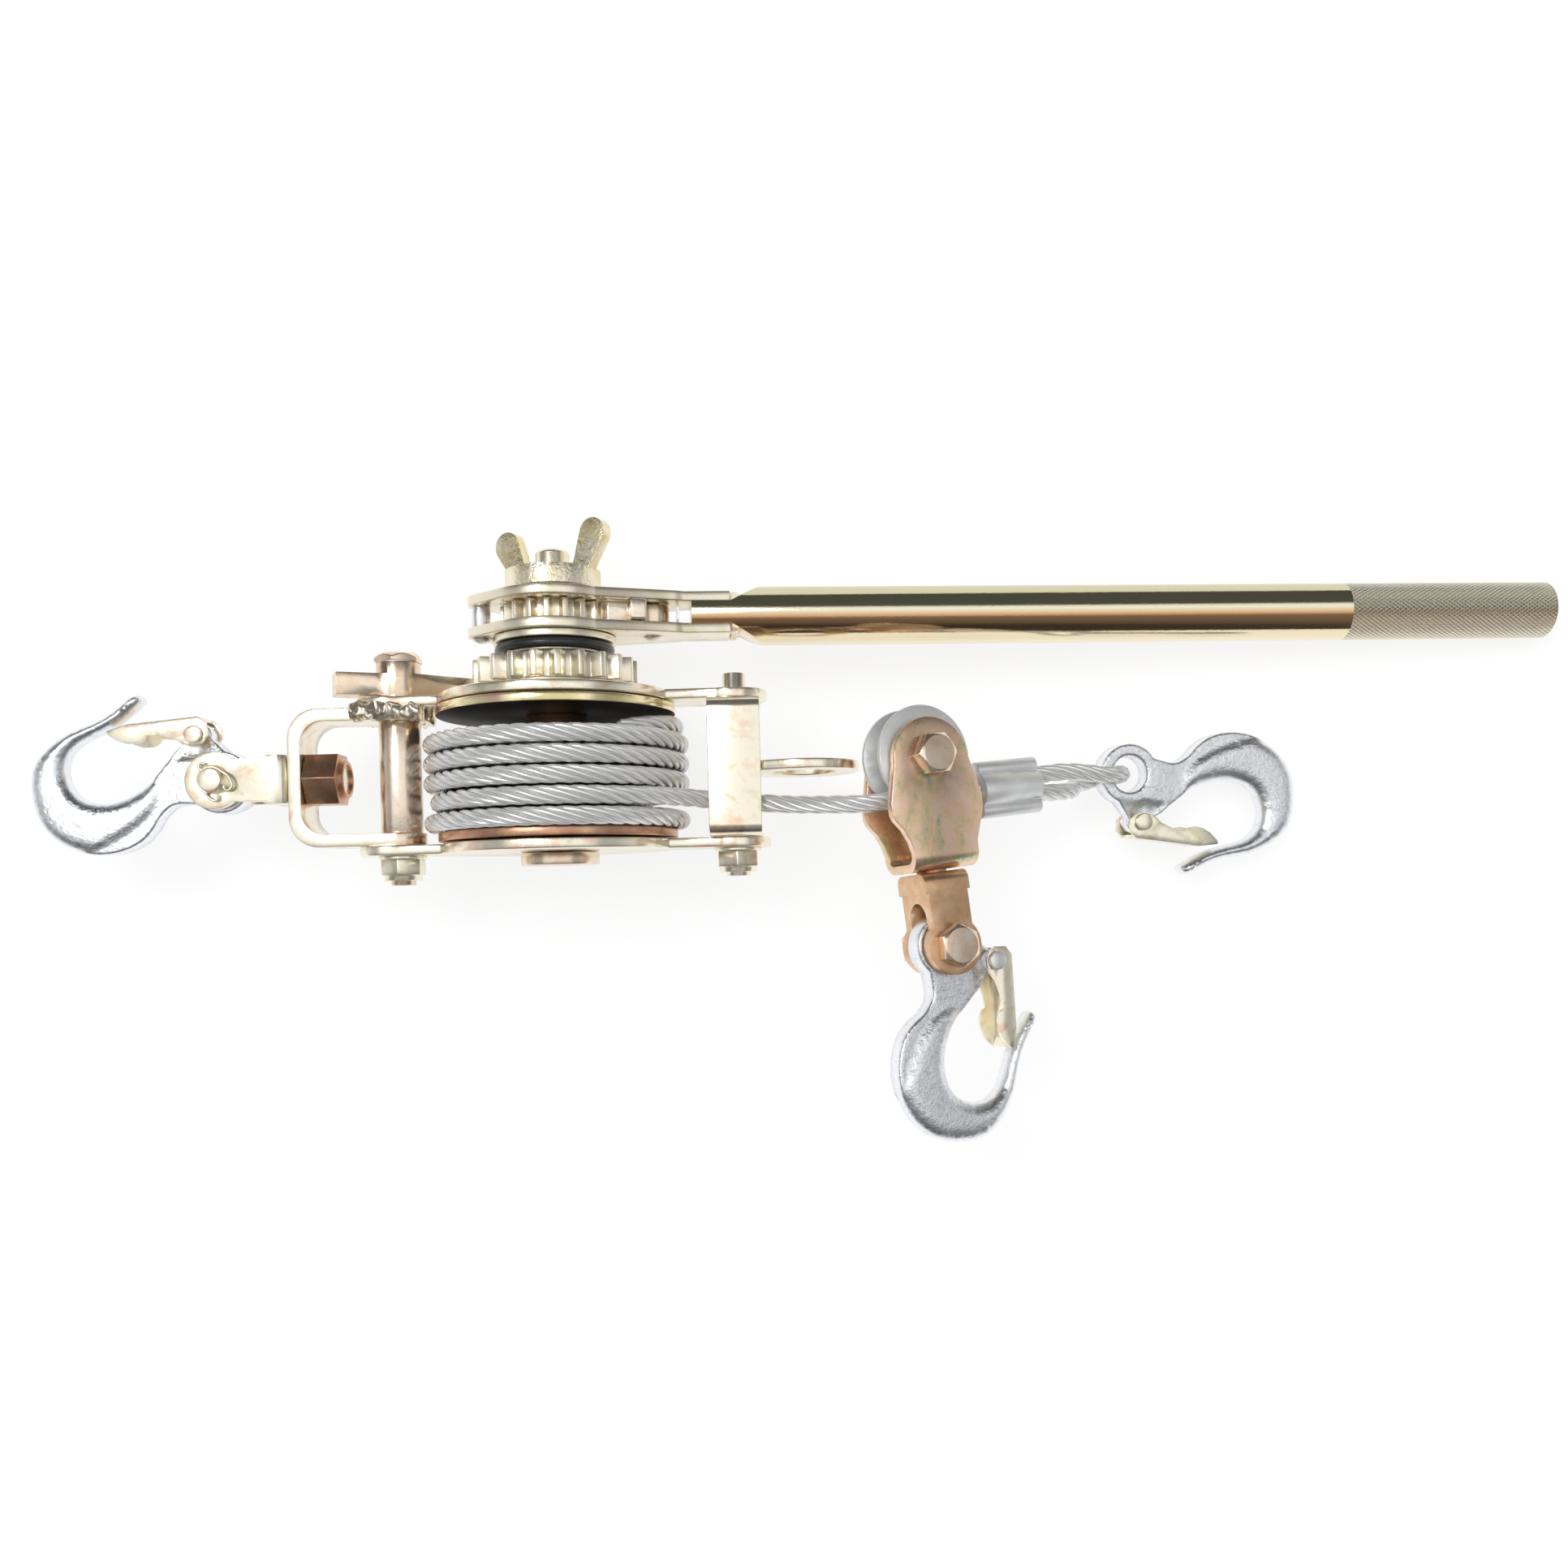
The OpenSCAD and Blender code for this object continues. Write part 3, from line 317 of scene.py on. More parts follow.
# %% floor
def paper(name):
    finish = Finish(name, roughness=0.9)
    grain = finish.noise(4, detail=2)
    finish.set(Base_Color=finish.mix(grain, (0.93, 0.93, 0.93), (0.96, 0.96, 0.96)))
    _, seen = finish.rays()
    glow = finish.node("ShaderNodeEmission", {}, (1, 1, 1, 1), 1.0)
    both = finish.node("ShaderNodeMixShader", {}, seen * 0.8, Wire(finish, finish.shader.outputs[0]), glow)
    finish.join(both, finish.tree.nodes["Material Output"].inputs[0])
    return finish.material


bm = bmesh.new()
bmesh.ops.create_grid(bm, x_segments=1, y_segments=1, size=4)
floor_mesh = bpy.data.meshes.new("floor")
bm.to_mesh(floor_mesh)
bm.free()
floor = bpy.data.objects.new("floor", floor_mesh)
floor_mesh.materials.append(paper("paper"))
bpy.context.scene.collection.objects.link(floor)
floor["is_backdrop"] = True
print("a sheet of", floor.dimensions.x, "m")

# %% [markdown]
# ## Yellow chromate
# Zinc plate dipped in chromate turns gold, and its thin film shifts to green, pink and blue where it
# is thicker. Slow noise picks the film's thickness, a ramp turns that into a tint, and fine noise
# adds the grain of the sheet under it. One recipe then serves every plated finish: sheet, casting,
# forging and turned steel differ in their tints, their gloss and the depth of their grain.


# %% plating
def plating(name, film, rough=(0.24, 0.42), grain=0.6, depth=0.05, metallic=0.95, patch=26, lean=(1, 1, 1)):
    finish = Finish(name, metallic=metallic)
    thickness = (finish.noise(patch, detail=3, distortion=1.4, stretch=lean) * 0.72
                 + finish.noise(patch / 5, detail=3, stretch=lean) * 0.28)
    tint = thickness.ramp(*film)
    speck = finish.noise(grain, detail=2)
    wear = (finish.noise(9, detail=6, roughness=0.7) - 0.5) * 0.5 + 0.5
    tint = finish.mix(speck * 0.2, tint, (1.0, 0.97, 0.9))
    gloss = wear * (rough[1] - rough[0]) * 1.6 + (rough[0] - 0.08) + speck * 0.12
    relief = speck * 0.6 + finish.noise(3.2, detail=3) * 0.4
    return finish.set(Base_Color=tint, Roughness=gloss, Normal=finish.bump(relief, depth))


OLIVE, CREAM, PEACH = (0.62, 0.58, 0.36), (0.93, 0.87, 0.70), (0.90, 0.68, 0.50)
PINK, TEAL, BROWN = (0.78, 0.50, 0.44), (0.42, 0.56, 0.50), (0.56, 0.28, 0.14)
gold = plating("gold_chromate", ((0.28, OLIVE), (0.42, CREAM), (0.52, CREAM), (0.6, PEACH), (0.7, PINK),
                                 (0.8, TEAL)), rough=(0.14, 0.28), depth=0.03)
blotched = plating("blotched_chromate", ((0.33, (0.28, 0.48, 0.46)), (0.40, (0.66, 0.58, 0.30)),
                                         (0.48, (0.88, 0.60, 0.38)), (0.62, (0.92, 0.64, 0.52)),
                                         (0.74, OLIVE)), rough=(0.18, 0.34), patch=11, lean=(1.3, 0.8, 1))
cast_gold = plating("cast_chromate", ((0.3, OLIVE), (0.45, (0.84, 0.72, 0.40)), (0.62, CREAM),
                                      (0.75, PEACH)), rough=(0.22, 0.38), grain=1.8, depth=0.5)
tooth_gold = plating("cut_tooth_chromate", ((0.3, (0.78, 0.72, 0.50)), (0.5, CREAM),
                                            (0.7, (0.94, 0.80, 0.62))),
                     rough=(0.2, 0.34), grain=0.5, depth=0.03)
rose_gold = plating("rose_chromate", ((0.3, (0.62, 0.40, 0.26)), (0.46, (0.86, 0.66, 0.48)),
                                      (0.6, (0.92, 0.80, 0.66)), (0.75, PINK)),
                    rough=(0.14, 0.28), grain=0.7, depth=0.04)
brown_gold = plating("brown_chromate", ((0.3, BROWN), (0.5, (0.74, 0.44, 0.22)),
                                        (0.68, (0.86, 0.62, 0.40))),
                     rough=(0.24, 0.42), grain=0.7, depth=0.08, patch=16)
copper = plating("copper_chromate", ((0.3, (0.40, 0.16, 0.08)), (0.5, (0.56, 0.27, 0.14)),
                                     (0.7, (0.68, 0.42, 0.26))), rough=(0.2, 0.34), depth=0.03)
zinc = plating("bright_zinc", ((0.3, (0.78, 0.79, 0.81)), (0.5, (0.88, 0.88, 0.89)),
                               (0.7, (0.93, 0.93, 0.92))), rough=(0.22, 0.36), grain=0.7, depth=0.1)
alloy = plating("grey_alloy", ((0.3, (0.66, 0.67, 0.69)), (0.6, (0.80, 0.81, 0.82))), rough=(0.34, 0.5),
                grain=0.4, depth=0.04, metallic=0.8)
print("nine plated finishes")

# %% [markdown]
# ## The forged hooks' zinc
# The hooks keep the rough skin of the forging under their zinc: pits and bumps about two millimetres
# across with finer ones on them, which break a dark reflection into glitter. Two sizes of noise are
# stacked in one bump, and the deepest pits are also darkened in the colour as painted shade.


# %% forged zinc
def forged_zinc(name):
    finish = Finish(name, metallic=0.95)
    skin = finish.noise(1.9, detail=4, roughness=0.75) * 0.8 + finish.noise(7, detail=3) * 0.2
    dull = finish.noise(14, detail=4)
    tint = finish.mix(dull, (0.82, 0.86, 0.92), (0.97, 0.97, 0.98))
    # painted shade: the deepest pits of the skin are darkened in the colour
    tint = finish.mix((skin < 0.43) * 0.3, tint, (0.50, 0.54, 0.62))
    return finish.set(Base_Color=tint, Roughness=dull * 0.1 + 0.1, Normal=finish.bump(skin, 0.4))


hook_zinc = forged_zinc("forged_zinc")
print("forged zinc")

# %% [markdown]
# ## The handle's knurl
# The grip's last stretch is rolled with crossed grooves. Mapping the coordinates into the tube's own
# axes gives a distance along it and an angle round it, and two sine waves that wind opposite ways
# make the diamonds, as bump. The same distance masks them to the grip. The angle also picks painted
# reflection bands that run along the tube: a painted highlight where the tube faces up, with painted
# dark olive and brown reflection bands round it.

# %% handle finish
KNURL_FROM, KNURL_TO, GROOVES = 337, 429, 44
KNURL_SLANT = 2.6       # radians of groove for each millimetre along the grip


def handle_finish(name):
    finish = Finish(name, metallic=0.97)
    middle = (STAND[0], STAND[1] + HANDLE_Y, STAND[2])
    along, up, side = finish.split(finish.local(middle, (0, HANDLE_TILT, 0)))
    angle = side.math("ARCTAN2", up)
    slow = (finish.noise(40, detail=3, stretch=(0.25, 1, 1)) * 0.7
            + finish.noise(5, detail=3, stretch=(0.2, 1, 1)) * 0.3)
    tint = slow.ramp((0.3, (0.62, 0.56, 0.26)), (0.44, (0.80, 0.66, 0.34)), (0.55, (0.86, 0.68, 0.36)),
                     (0.68, (0.82, 0.52, 0.30)))
    # painted reflection: a painted highlight where the tube faces up, and painted dark olive and brown
    # reflection bands round it
    painted_reflection_bands = (angle.math("ABSOLUTE") * (1 / math.pi)).ramp(
        (0.0, (0.52, 0.50, 0.32)), (0.42, (0.66, 0.66, 0.46)), (0.5, (0.86, 0.84, 0.66)),
        (0.56, (0.64, 0.32, 0.15)), (0.70, (0.64, 0.38, 0.21)), (0.78, (0.86, 0.74, 0.54)),
        (1.0, (0.92, 0.84, 0.64)))
    tint = finish.mix(0.8, tint, painted_reflection_bands)
    grip = (along > KNURL_FROM) * (along < KNURL_TO)
    one = (angle * GROOVES + along * KNURL_SLANT).math("SINE")
    two = (angle * GROOVES - along * KNURL_SLANT).math("SINE")
    diamonds = one.math("MAXIMUM", two) * 0.5 + 0.5
    # painted shade: the grooves between the knurl's diamonds are darkened in the colour
    tint = finish.mix(grip * (1 - diamonds) * 0.55, tint, (0.40, 0.34, 0.20))
    tint = finish.mix(grip * 0.5, tint, (0.80, 0.76, 0.66))
    scuff = (finish.noise(3, detail=5, roughness=0.7, stretch=(0.1, 1, 1)) - 0.5) * 0.2
    relief = grip * diamonds + finish.noise(0.6, detail=2) * 0.08
    return finish.set(Base_Color=tint, Roughness=grip * 0.16 + 0.09 + scuff,
                      Normal=finish.bump(relief, 0.3))


handle_gold = handle_finish("handle_chromate")
print("knurled from", KNURL_FROM, "to", KNURL_TO, "mm")

# %% [markdown]
# ## Rubber, lining and rope wire
# The rubber ring is nearly black with a fine fleck, and the brake lining is a dull matted fibre. The
# wires of the rope are too fine to model, so slanting grooves on each strand's UV map stand for
# them, with painted shade darkening the colour between the wires, and the layers below the outer
# turns are grooves round the core, with painted shade darkening the colour between the turns.


# %% rubber, lining and wire
def rubber(name):
    finish = Finish(name)
    fleck = finish.noise(0.7, detail=2)
    return finish.set(Base_Color=finish.mix(fleck, (0.012, 0.012, 0.013), (0.03, 0.03, 0.032)),
                      Roughness=fleck * 0.1 + 0.2, Normal=finish.bump(fleck, 0.02))


def lining(name):
    finish = Finish(name)
    fibre = finish.noise(1.2, detail=5)
    return finish.set(Base_Color=finish.mix(fibre, (0.10, 0.09, 0.08), (0.24, 0.21, 0.18)),
                      Roughness=fibre * 0.2 + 0.7, Normal=finish.bump(fibre, 0.1))


WIRES = 9               # wires round one strand
CORE_GROOVES = 50       # strand ends met on one way round the core


def drawn_wire(name):
    """Wires wound round a strand: slanting grooves on the strand's own UV map."""
    finish = Finish(name, metallic=0.7)
    around, along, _ = finish.split(finish.node("ShaderNodeUVMap", {"uv_map": "UVMap"}))
    groove = ((around * WIRES + along * 0.8) * (2 * math.pi)).math("SINE") * 0.5 + 0.5
    round_top = groove.math("POWER", 0.55)
    shade = finish.noise(9, detail=4)
    bright = finish.mix(shade, (0.80, 0.80, 0.80), (0.97, 0.97, 0.96))
    # painted shade: the colour darkens into the grooves between the wires
    colour = finish.mix(round_top, (0.52, 0.51, 0.50), bright)
    return finish.set(Base_Color=colour, Roughness=shade * 0.14 + 0.26, Normal=finish.bump(round_top, 0.04))


def wound_layers(name):
    """The turns below the outer layer, as grooves round the core, with painted shade between the turns."""
    finish = Finish(name, metallic=0.85)
    across, along, up = finish.split(finish.local(STAND))
    turn_wave = ((along - LOW_Y) * (math.pi / TURN_PITCH)).math("SINE").math("ABSOLUTE")
    strands = (across.math("ARCTAN2", up) * CORE_GROOVES + along * 0.9).math("SINE") * 0.5 + 0.5
    height = (1 - turn_wave) * 0.85 + strands * 0.15
    # painted shade: the colour falls to near black between the buried turns
    colour = finish.mix(height.math("POWER", 1.5), (0.10, 0.10, 0.10), (0.70, 0.70, 0.69))
    return finish.set(Base_Color=colour, Roughness=strands * 0.1 + 0.3, Normal=finish.bump(height, 2.5))


def painted_shade_inside(name):
    """A bright rim, and an inner face coloured near black as painted shade, for it lies in shadow, and
    glossy enough that it mirrors the hub.
    """
    finish = Finish(name, metallic=0.9)
    _, along, _ = finish.split(finish.local(STAND))
    inner = along < DRUM_WIDTH / 2 + 0.1
    film = finish.noise(22, detail=3)
    rim = film.ramp((0.35, (0.70, 0.62, 0.32)), (0.5, (0.92, 0.80, 0.50)), (0.65, (0.86, 0.58, 0.44)))
    # painted shade: the flange's inner face, which lies in shadow, is coloured near black
    face = finish.mix(film, (0.02, 0.016, 0.014), (0.06, 0.04, 0.034))
    return finish.set(Base_Color=finish.mix(inner, rim, face), Roughness=film * 0.1 + inner * 0.4 + 0.12,
                      Normal=finish.bump(finish.noise(0.6, detail=2), 0.02))


painted_shade_flange = painted_shade_inside("dark_inside_chromate")
black_rubber = rubber("black_rubber")
friction_lining = lining("friction_lining")
rope_wire = drawn_wire("rope_wire")
wound_wire = wound_layers("wound_wire")
print("rubber, lining and rope wire")

# %% [markdown]
# ## Soft edges on the pressed and turned pieces
# The CAD solids have knife edges, which catch no light. A copy of each is merged, its flat faces are
# joined, and its edges are bevelled by the few tenths of a millimetre that tumbling and plating
# leave, wider on forgings and castings.


# %% soften
def finish_mesh(bm, name, body, finish, replaced=(), sharp=35):
    """Makes a bmesh, drawn in metres in the row's frame, into a piece that rides on its body."""
    mesh = bpy.data.meshes.new(name)
    bm.to_mesh(mesh)
    bm.free()
    mesh.shade_smooth()
    mesh.set_sharp_from_angle(angle=math.radians(sharp))
    thing = bpy.data.objects.new(name, mesh)
    bpy.context.scene.collection.objects.link(thing)
    mesh.materials.append(finish)
    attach(thing, body)
    if replaced:
        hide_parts(*replaced)
    return thing


def body_of_node(node):
    return next(b for b, members in frame["record"]["behaviour"]["bodies"].items() if node in members)


HARD_ANGLE = 30         # an edge that turns more than this is bevelled


def soften(node, width, finish, segments=2):
    bm = bmesh.new()
    bm.from_mesh(frame["nodes"][node].data)
    bmesh.ops.remove_doubles(bm, verts=bm.verts, dist=2e-6)
    bmesh.ops.dissolve_limit(bm, angle_limit=math.radians(0.5), verts=bm.verts, edges=bm.edges)
    hard = [e for e in bm.edges if e.is_manifold and e.calc_face_angle(0) > math.radians(HARD_ANGLE)]
    if width:
        bmesh.ops.bevel(bm, geom=hard, offset=width * MM, offset_type="OFFSET", affect="EDGES",
                        segments=segments, profile=0.5, material=-1, clamp_overlap=True)
    bmesh.ops.triangulate(bm, faces=[f for f in bm.faces if len(f.verts) > 4])
    return finish_mesh(bm, node + "_soft", body_of_node(node), finish, [node], sharp=50)


SHEET_EDGE, TURNED_EDGE, FORGED_EDGE = 0.45, 0.35, 0.9
SOFT = (
    (SHEET_EDGE, gold, "upper_frame_plate lower_frame_plate end_bail rope_guard eye_plate"),
    (SHEET_EDGE, tooth_gold, "upper_head_plate lower_head_plate"),
    (0.55, blotched, "block_plate"),
    (TURNED_EDGE, gold, "guard_bolt frame_nuts left_pin eye_plate_spacers"),
    (TURNED_EDGE, painted_shade_flange, "upper_flange"),
    (TURNED_EDGE, tooth_gold, "ratchet_wheel handle_gear drum_shaft sheave_washers thrust_washers"),
    (TURNED_EDGE, copper, "lower_flange drum_bushes drum_hub sheave_bush"),
    (TURNED_EDGE, rose_gold, "shaft_collar pawl_bolt pawl_bolt_tube sheave_bolt lower_bolt"),
    (FORGED_EDGE, gold, "left_clevis"),
    (FORGED_EDGE, brown_gold, "lower_clevis"),
    (0.7, rose_gold, "holding_pawl feed_pawl"),
    (0.6, copper, "left_swivel_nut"),
    (0.3, gold, "left_latch lower_latch right_latch left_latch_screw right_latch_screw"),
    (0.2, zinc, "head_rivets lower_latch_rivet"),
    (0.6, handle_gold, "handle_tube"),
    (TURNED_EDGE, alloy, "sheave"),
    (0.7, alloy, "ferrule"),
    (0, wound_wire, "rope_core"),
    (0, friction_lining, "friction_discs"),
    (0, black_rubber, "rubber_ring"),
    (0, zinc, "holding_pawl_spring feed_pawl_spring"),
    (0, zinc, "left_latch_spring lower_latch_spring right_latch_spring"),
)
for width, finish, nodes in SOFT:
    for node in nodes.split():
        soften(node, width, finish)
soften("wing_nut", 1.3, cast_gold, segments=3)
print("the pressed, turned and forged solids have soft edges")

# %% [markdown]
# ## Wire rope
# Six strands are laid round a core, and each strand is itself a twist of wires. The strands are real
# geometry, so that the rope's edge is knobbly against the light; the wires are grooves in the
# finish. The same strand maker serves the turns on the drum, the run to the block and the eye.

# %% rope routes
STRANDS = 6
STRAND_R = ROPE_R * 0.336
LAY = 42.0              # millimetres for one turn of a strand


def smooth_route(points, count):
    """Extra points on a smooth curve through the chosen ones."""
    points = [Vector(p) for p in points]
    route = []
    for i in range(len(points) - 1):
        a, b = points[max(i - 1, 0)], points[i]
        c, d = points[i + 1], points[min(i + 2, len(points) - 1)]
        for k in range(count):
            t = k / count
            route.append(0.5 * (2 * b + (c - a) * t + (2 * a - 5 * b + 4 * c - d) * t * t
                                + (3 * b - a - 3 * c + d) * t ** 3))
    return route + [points[-1]]


def even_route(points, step):
    """The same route with points a steady step apart."""
    route, spare = [points[0].copy()], 0.0
    for a, b in zip(points, points[1:]):
        length = (b - a).length
        place = step - spare
        while place <= length:
            route.append(a.lerp(b, place / length))
            place += step
        spare = length - (place - step)
    if (route[-1] - points[-1]).length > step * 0.3:
        route.append(points[-1].copy())
    return route


def frames_along(route):
    """For each point the direction of travel and one steady sideways direction."""
    last = len(route) - 1
    ahead = [(route[min(i + 1, last)] - route[max(i - 1, 0)]).normalized() for i in range(last + 1)]
    side = ahead[0].orthogonal().normalized()
    sides = []
    for direction in ahead:
        side = (side - direction * side.dot(direction)).normalized()
        sides.append(side)
    return list(zip(route, ahead, sides))


def sweep(bm, route, radius, corners):
    """A tube of verts and quads along a route, with a UV map of turns round and millimetres along."""
    layer = bm.loops.layers.uv.verify()
    rings, along, total = [], [], 0.0
    for i, (point, ahead, side) in enumerate(frames_along(route)):
        other = ahead.cross(side)
        ring = []
        for k in range(corners):
            angle = 2 * math.pi * k / corners
            ring.append(bm.verts.new(point + radius * (math.cos(angle) * side + math.sin(angle) * other)))
        rings.append(ring)
        total += (route[i] - route[i - 1]).length if i else 0
        along.append(total)
    for i in range(len(rings) - 1):
        for k in range(corners):
            n = (k + 1) % corners
            face = bm.faces.new((rings[i][k], rings[i][n], rings[i + 1][n], rings[i + 1][k]))
            spots = ((k, i), (k + 1, i), (k + 1, i + 1), (k, i + 1))
            for loop, (u, v) in zip(face.loops, spots):
                loop[layer].uv = (u / corners, along[v])
    bm.faces.new(rings[0][::-1])
    bm.faces.new(rings[-1])


def wire_rope(name, body, route, place, replaced, start_turn=0.0):
    """Six strands laid round a core along a route in millimetres."""
    bm = bmesh.new()
    route = even_route(route, LAY / 14)
    stations = frames_along(route)
    step = 2 * math.pi / LAY
    for s in range(STRANDS):
        strand, run = [], start_turn * LAY
        for i, (point, ahead, side) in enumerate(stations):
            run += (route[i] - route[i - 1]).length if i else 0
            angle = run * step + 2 * math.pi * s / STRANDS
            other = ahead.cross(side)
            strand.append(point + (ROPE_R - STRAND_R) * (math.cos(angle) * side + math.sin(angle) * other))
        sweep(bm, strand, STRAND_R, 10)
    sweep(bm, route, (ROPE_R - STRAND_R) * 0.88, 6)
    bm.transform(place)
    for v in bm.verts:          # a strand that would dip into the floor is pressed flat on it
        v.co.z = max(v.co.z, 0)
    return finish_mesh(bm, name, body, rope_wire, replaced, sharp=80)


def winding_height(angle):
    """Level over the top of the drum, climbing a pitch underneath in each turn."""
    if angle < 180:
        return LOW_Y
    part = (angle - 360) % 360
    if angle < 360:
        rise = 1.97 * (angle - 180) / 180
    else:
        rise = 1.97 + 0.06 * part / 180 if part < 180 else 2.03 + 0.94 * (part - 180) / 180
        rise += (angle - 360) // 360
    return LOW_Y + TURN_PITCH * (rise - 0.6 * (max(0, angle - 1425) / 60) ** 2)


def on_drum(angle, radius, height):
    return Vector((radius * math.cos(math.radians(angle)), height, radius * math.sin(math.radians(angle))))


WIND_FROM, WIND_TO, WIND_STEP = -60, 1485, 5
DIVE = 8.4              # how far below the outer turns the rope's two ends go
winding_route = []
for angle in range(WIND_FROM, WIND_TO + 1, WIND_STEP):
    dive = max(0, 1 - (angle - WIND_FROM) / 40, 1 - (WIND_TO - angle) / 100)
    winding_route.append(on_drum(angle, WIND_R - DIVE * dive ** 2, winding_height(angle)))
print("a strand is", round(2 * STRAND_R, 2), "mm thick and goes round the rope in", LAY, "mm")

# %% the three ropes
to_block = drum_place.inverted() @ block_place
to_eye = drum_place.inverted() @ eye_place
RUN_Y = LOW_Y + TURN_PITCH
FERRULE_END, EYE_START = 56.01, 57.5
run_points = [on_drum(angle, WIND_R - 7.8 * min(1, (max(0, angle - 122) / 70) ** 2), RUN_Y)
              for angle in range(206, 51, -14)]
run_points += [(40.4, RUN_Y + 0.1, 32), (51.5, RUN_Y - 0.2, 22.4), (62, RUN_Y - 0.9, 13.8),
               (73, -13.9, 11.4), (85, -15, 12.6), (97, -16.1, 16.6), (110, -16.8, 22.3)]
run_points += [to_block @ Vector(p) for p in
               ((-24, 0, -2), (-12, 0, -0.6), (0, 0, 0), (14, 0, 0), (27, 0, 0))]
eye_points = [to_block @ Vector((x, ROPE_R + 0.15, 0)) for x in (FERRULE_END, EYE_START)]
eye_points += [to_eye @ Vector(p) for p in (
    (-34, 4.0, 11.2), (-26, 3.0, 11.4), (-18, 1.2, 11.4), (-11.5, 0, 10.9), (-6.6, 0, 8.9), (-4, 0, 5),
    (-3.3, 0, 0), (-4, 0, -5), (-6.8, 0, -9), (-12, 0, -11), (-17.5, -1, -10.6), (-22, -2.4, -6),
    (-25.5, -3.6, 0.5), (-31, -4.2, 6.8))]
eye_points += [to_block @ Vector((x, -ROPE_R - 0.15, 0)) for x in (EYE_START, FERRULE_END)]
wire_rope("rope_turns", "drum", winding_route, drum_place, ["rope_winding"])
wire_rope("rope_to_block", "frame", smooth_route(run_points, 4), drum_place, ["rope_run"], 0.3)
wire_rope("rope_loop", "rope_end", smooth_route(eye_points, 4), drum_place, ["rope_eye"], 0.6)
print("the rope has", STRANDS, "strands on", round((WIND_TO - WIND_FROM) / 360, 1), "turns")

# %% [markdown]
# ## Forged hooks
# A drop forging has a short parting wall and a body that is round in section, while its eye stays
# flat for the clevis. The plan is filled with triangles whose corners get closer towards the edge.
# Each corner is then lifted by its distance from the edge: along a quarter circle on the body, by a
# small rounded rim on the eye, and by a smaller one on the ear that carries the latch.

# %% hook plan
HOOK_LINE = [(16, -8.8), (20, -9.6), (24.5, -13.5), (28.1, -19.2), (33, -24), (40.3, -27.3), (48.8, -28.6),
             (58.3, -27.3), (66.3, -23.6), (72.5, -18), (76.7, -9.5), (78.2, 1), (77, 8), (73.2, 13.8),
             (67.5, 18.8), (60, 23), (50.4, 26.6), (43, 31), (38.2, 35), (35.3, 36.6), (32.6, 36.2),
             (31.6, 34), (34, 31.5), (38.5, 27.6), (44.5, 23.6), (51.5, 20.2), (58, 16.8), (62, 12.8),
             (63.8, 7.5), (63, 2), (60.5, -2.5), (56.5, -5.8), (51, -7.2), (44.5, -7), (38, -4.8),
             (32.2, -1.6), (27.5, 2.2), (23.5, 6.6), (20, 10.6)]
EYE_R, EAR_R = 13.0, 5.4
BODY_HALF, EYE_HALF, EAR_HALF, WALL = 6.2, 5.1, 3.3, 1.0
EYE_RIM, EAR_RIM = 1.2, 0.7
DENSE = 12              # points laid on each stretch of the outline, to measure distances from
PIN_HOLE, ROPE_HOLE = 4.75, 7.7


def arc(radius, start, end, count, middle=(0, 0)):
    turns = [math.radians(start + (end - start) * k / count) for k in range(count + 1)]
    return [Vector((middle[0] + radius * math.cos(a), middle[1] + radius * math.sin(a))) for a in turns]


def hook_outline():
    body = [p.xy for p in smooth_route([(x, y, 0) for x, y in HOOK_LINE], 6)]
    return body + [Vector((18, 13.2))] + arc(EAR_R, -25, 190, 18, (8.7, 19.1)) + arc(EYE_R, 100, 316, 44)


def plan_of_hook(hole):
    """Points of the plan with their distance from the edge, and the triangles between them."""
    outline = hook_outline()
    rim = arc(hole, 0, 355, 71)
    dense = kdtree.KDTree(DENSE * len(outline))
    for i, a in enumerate(outline):
        b = outline[(i + 1) % len(outline)]
        for k in range(DENSE):
            dense.insert(a.lerp(b, k / DENSE).to_3d(), DENSE * i + k)
    dense.balance()

    def depth(p):
        return dense.find(p.to_3d())[2]

    points = [(p, 0.0) for p in outline + rim]
    edges = [(i, (i + 1) % len(outline)) for i in range(len(outline))]
    edges += [(len(outline) + i, len(outline) + (i + 1) % len(rim)) for i in range(len(rim))]
    for inset in (0.25, 0.6, 1.1, 1.8, 2.7, 3.8, 5.0):
        for i, p in enumerate(outline):
            along = (outline[(i + 1) % len(outline)] - outline[i - 1]).normalized()
            inner = p + inset * Vector((-along.y, along.x))
            if depth(inner) > inset * 0.94 and inner.length > hole + EYE_RIM:
                points.append((inner, inset))
    for inset in (0.25, 0.6, EYE_RIM):
        points += [(p, inset) for p in arc(hole + inset, 2, 357, 71)]
    for i in range(-10, 60):
        for j in range(-20, 30):
            p = Vector((i * 1.5 + 0.75 * (j % 2), j * 1.35))
            if depth(p) > 5.6 and inside(p, outline) and p.length > hole + 2:
                points.append((p, depth(p)))
    made = geometry.delaunay_2d_cdt([p for p, _ in points], edges, [], 1, 1e-5)
    spots, triangles, origins = made[0], made[2], made[3]
    kept = [t for t in triangles if sum((spots[k] for k in t), Vector((0, 0))).length / 3 > hole * 0.99]
    depths = [points[o[0]][1] if o else 0.0 for o in origins]
    return spots, depths, kept


def inside(p, outline):
    """True if a line from the point crosses the outline an odd number of times."""
    odd = False
    for a, b in zip(outline, outline[1:] + outline[:1]):
        if (a.y > p.y) != (b.y > p.y) and p.x < a.x + (p.y - a.y) * (b.x - a.x) / (b.y - a.y):
            odd = not odd
    return odd


print("a hook's outline has", len(hook_outline()), "corners")

# %% hook relief
def quarter(distance, radius):
    """How far up a quarter circle a distance from its foot reaches, from 0 to 1."""
    short = 1 - min(distance / radius, 1)
    return math.sqrt(1 - short * short)


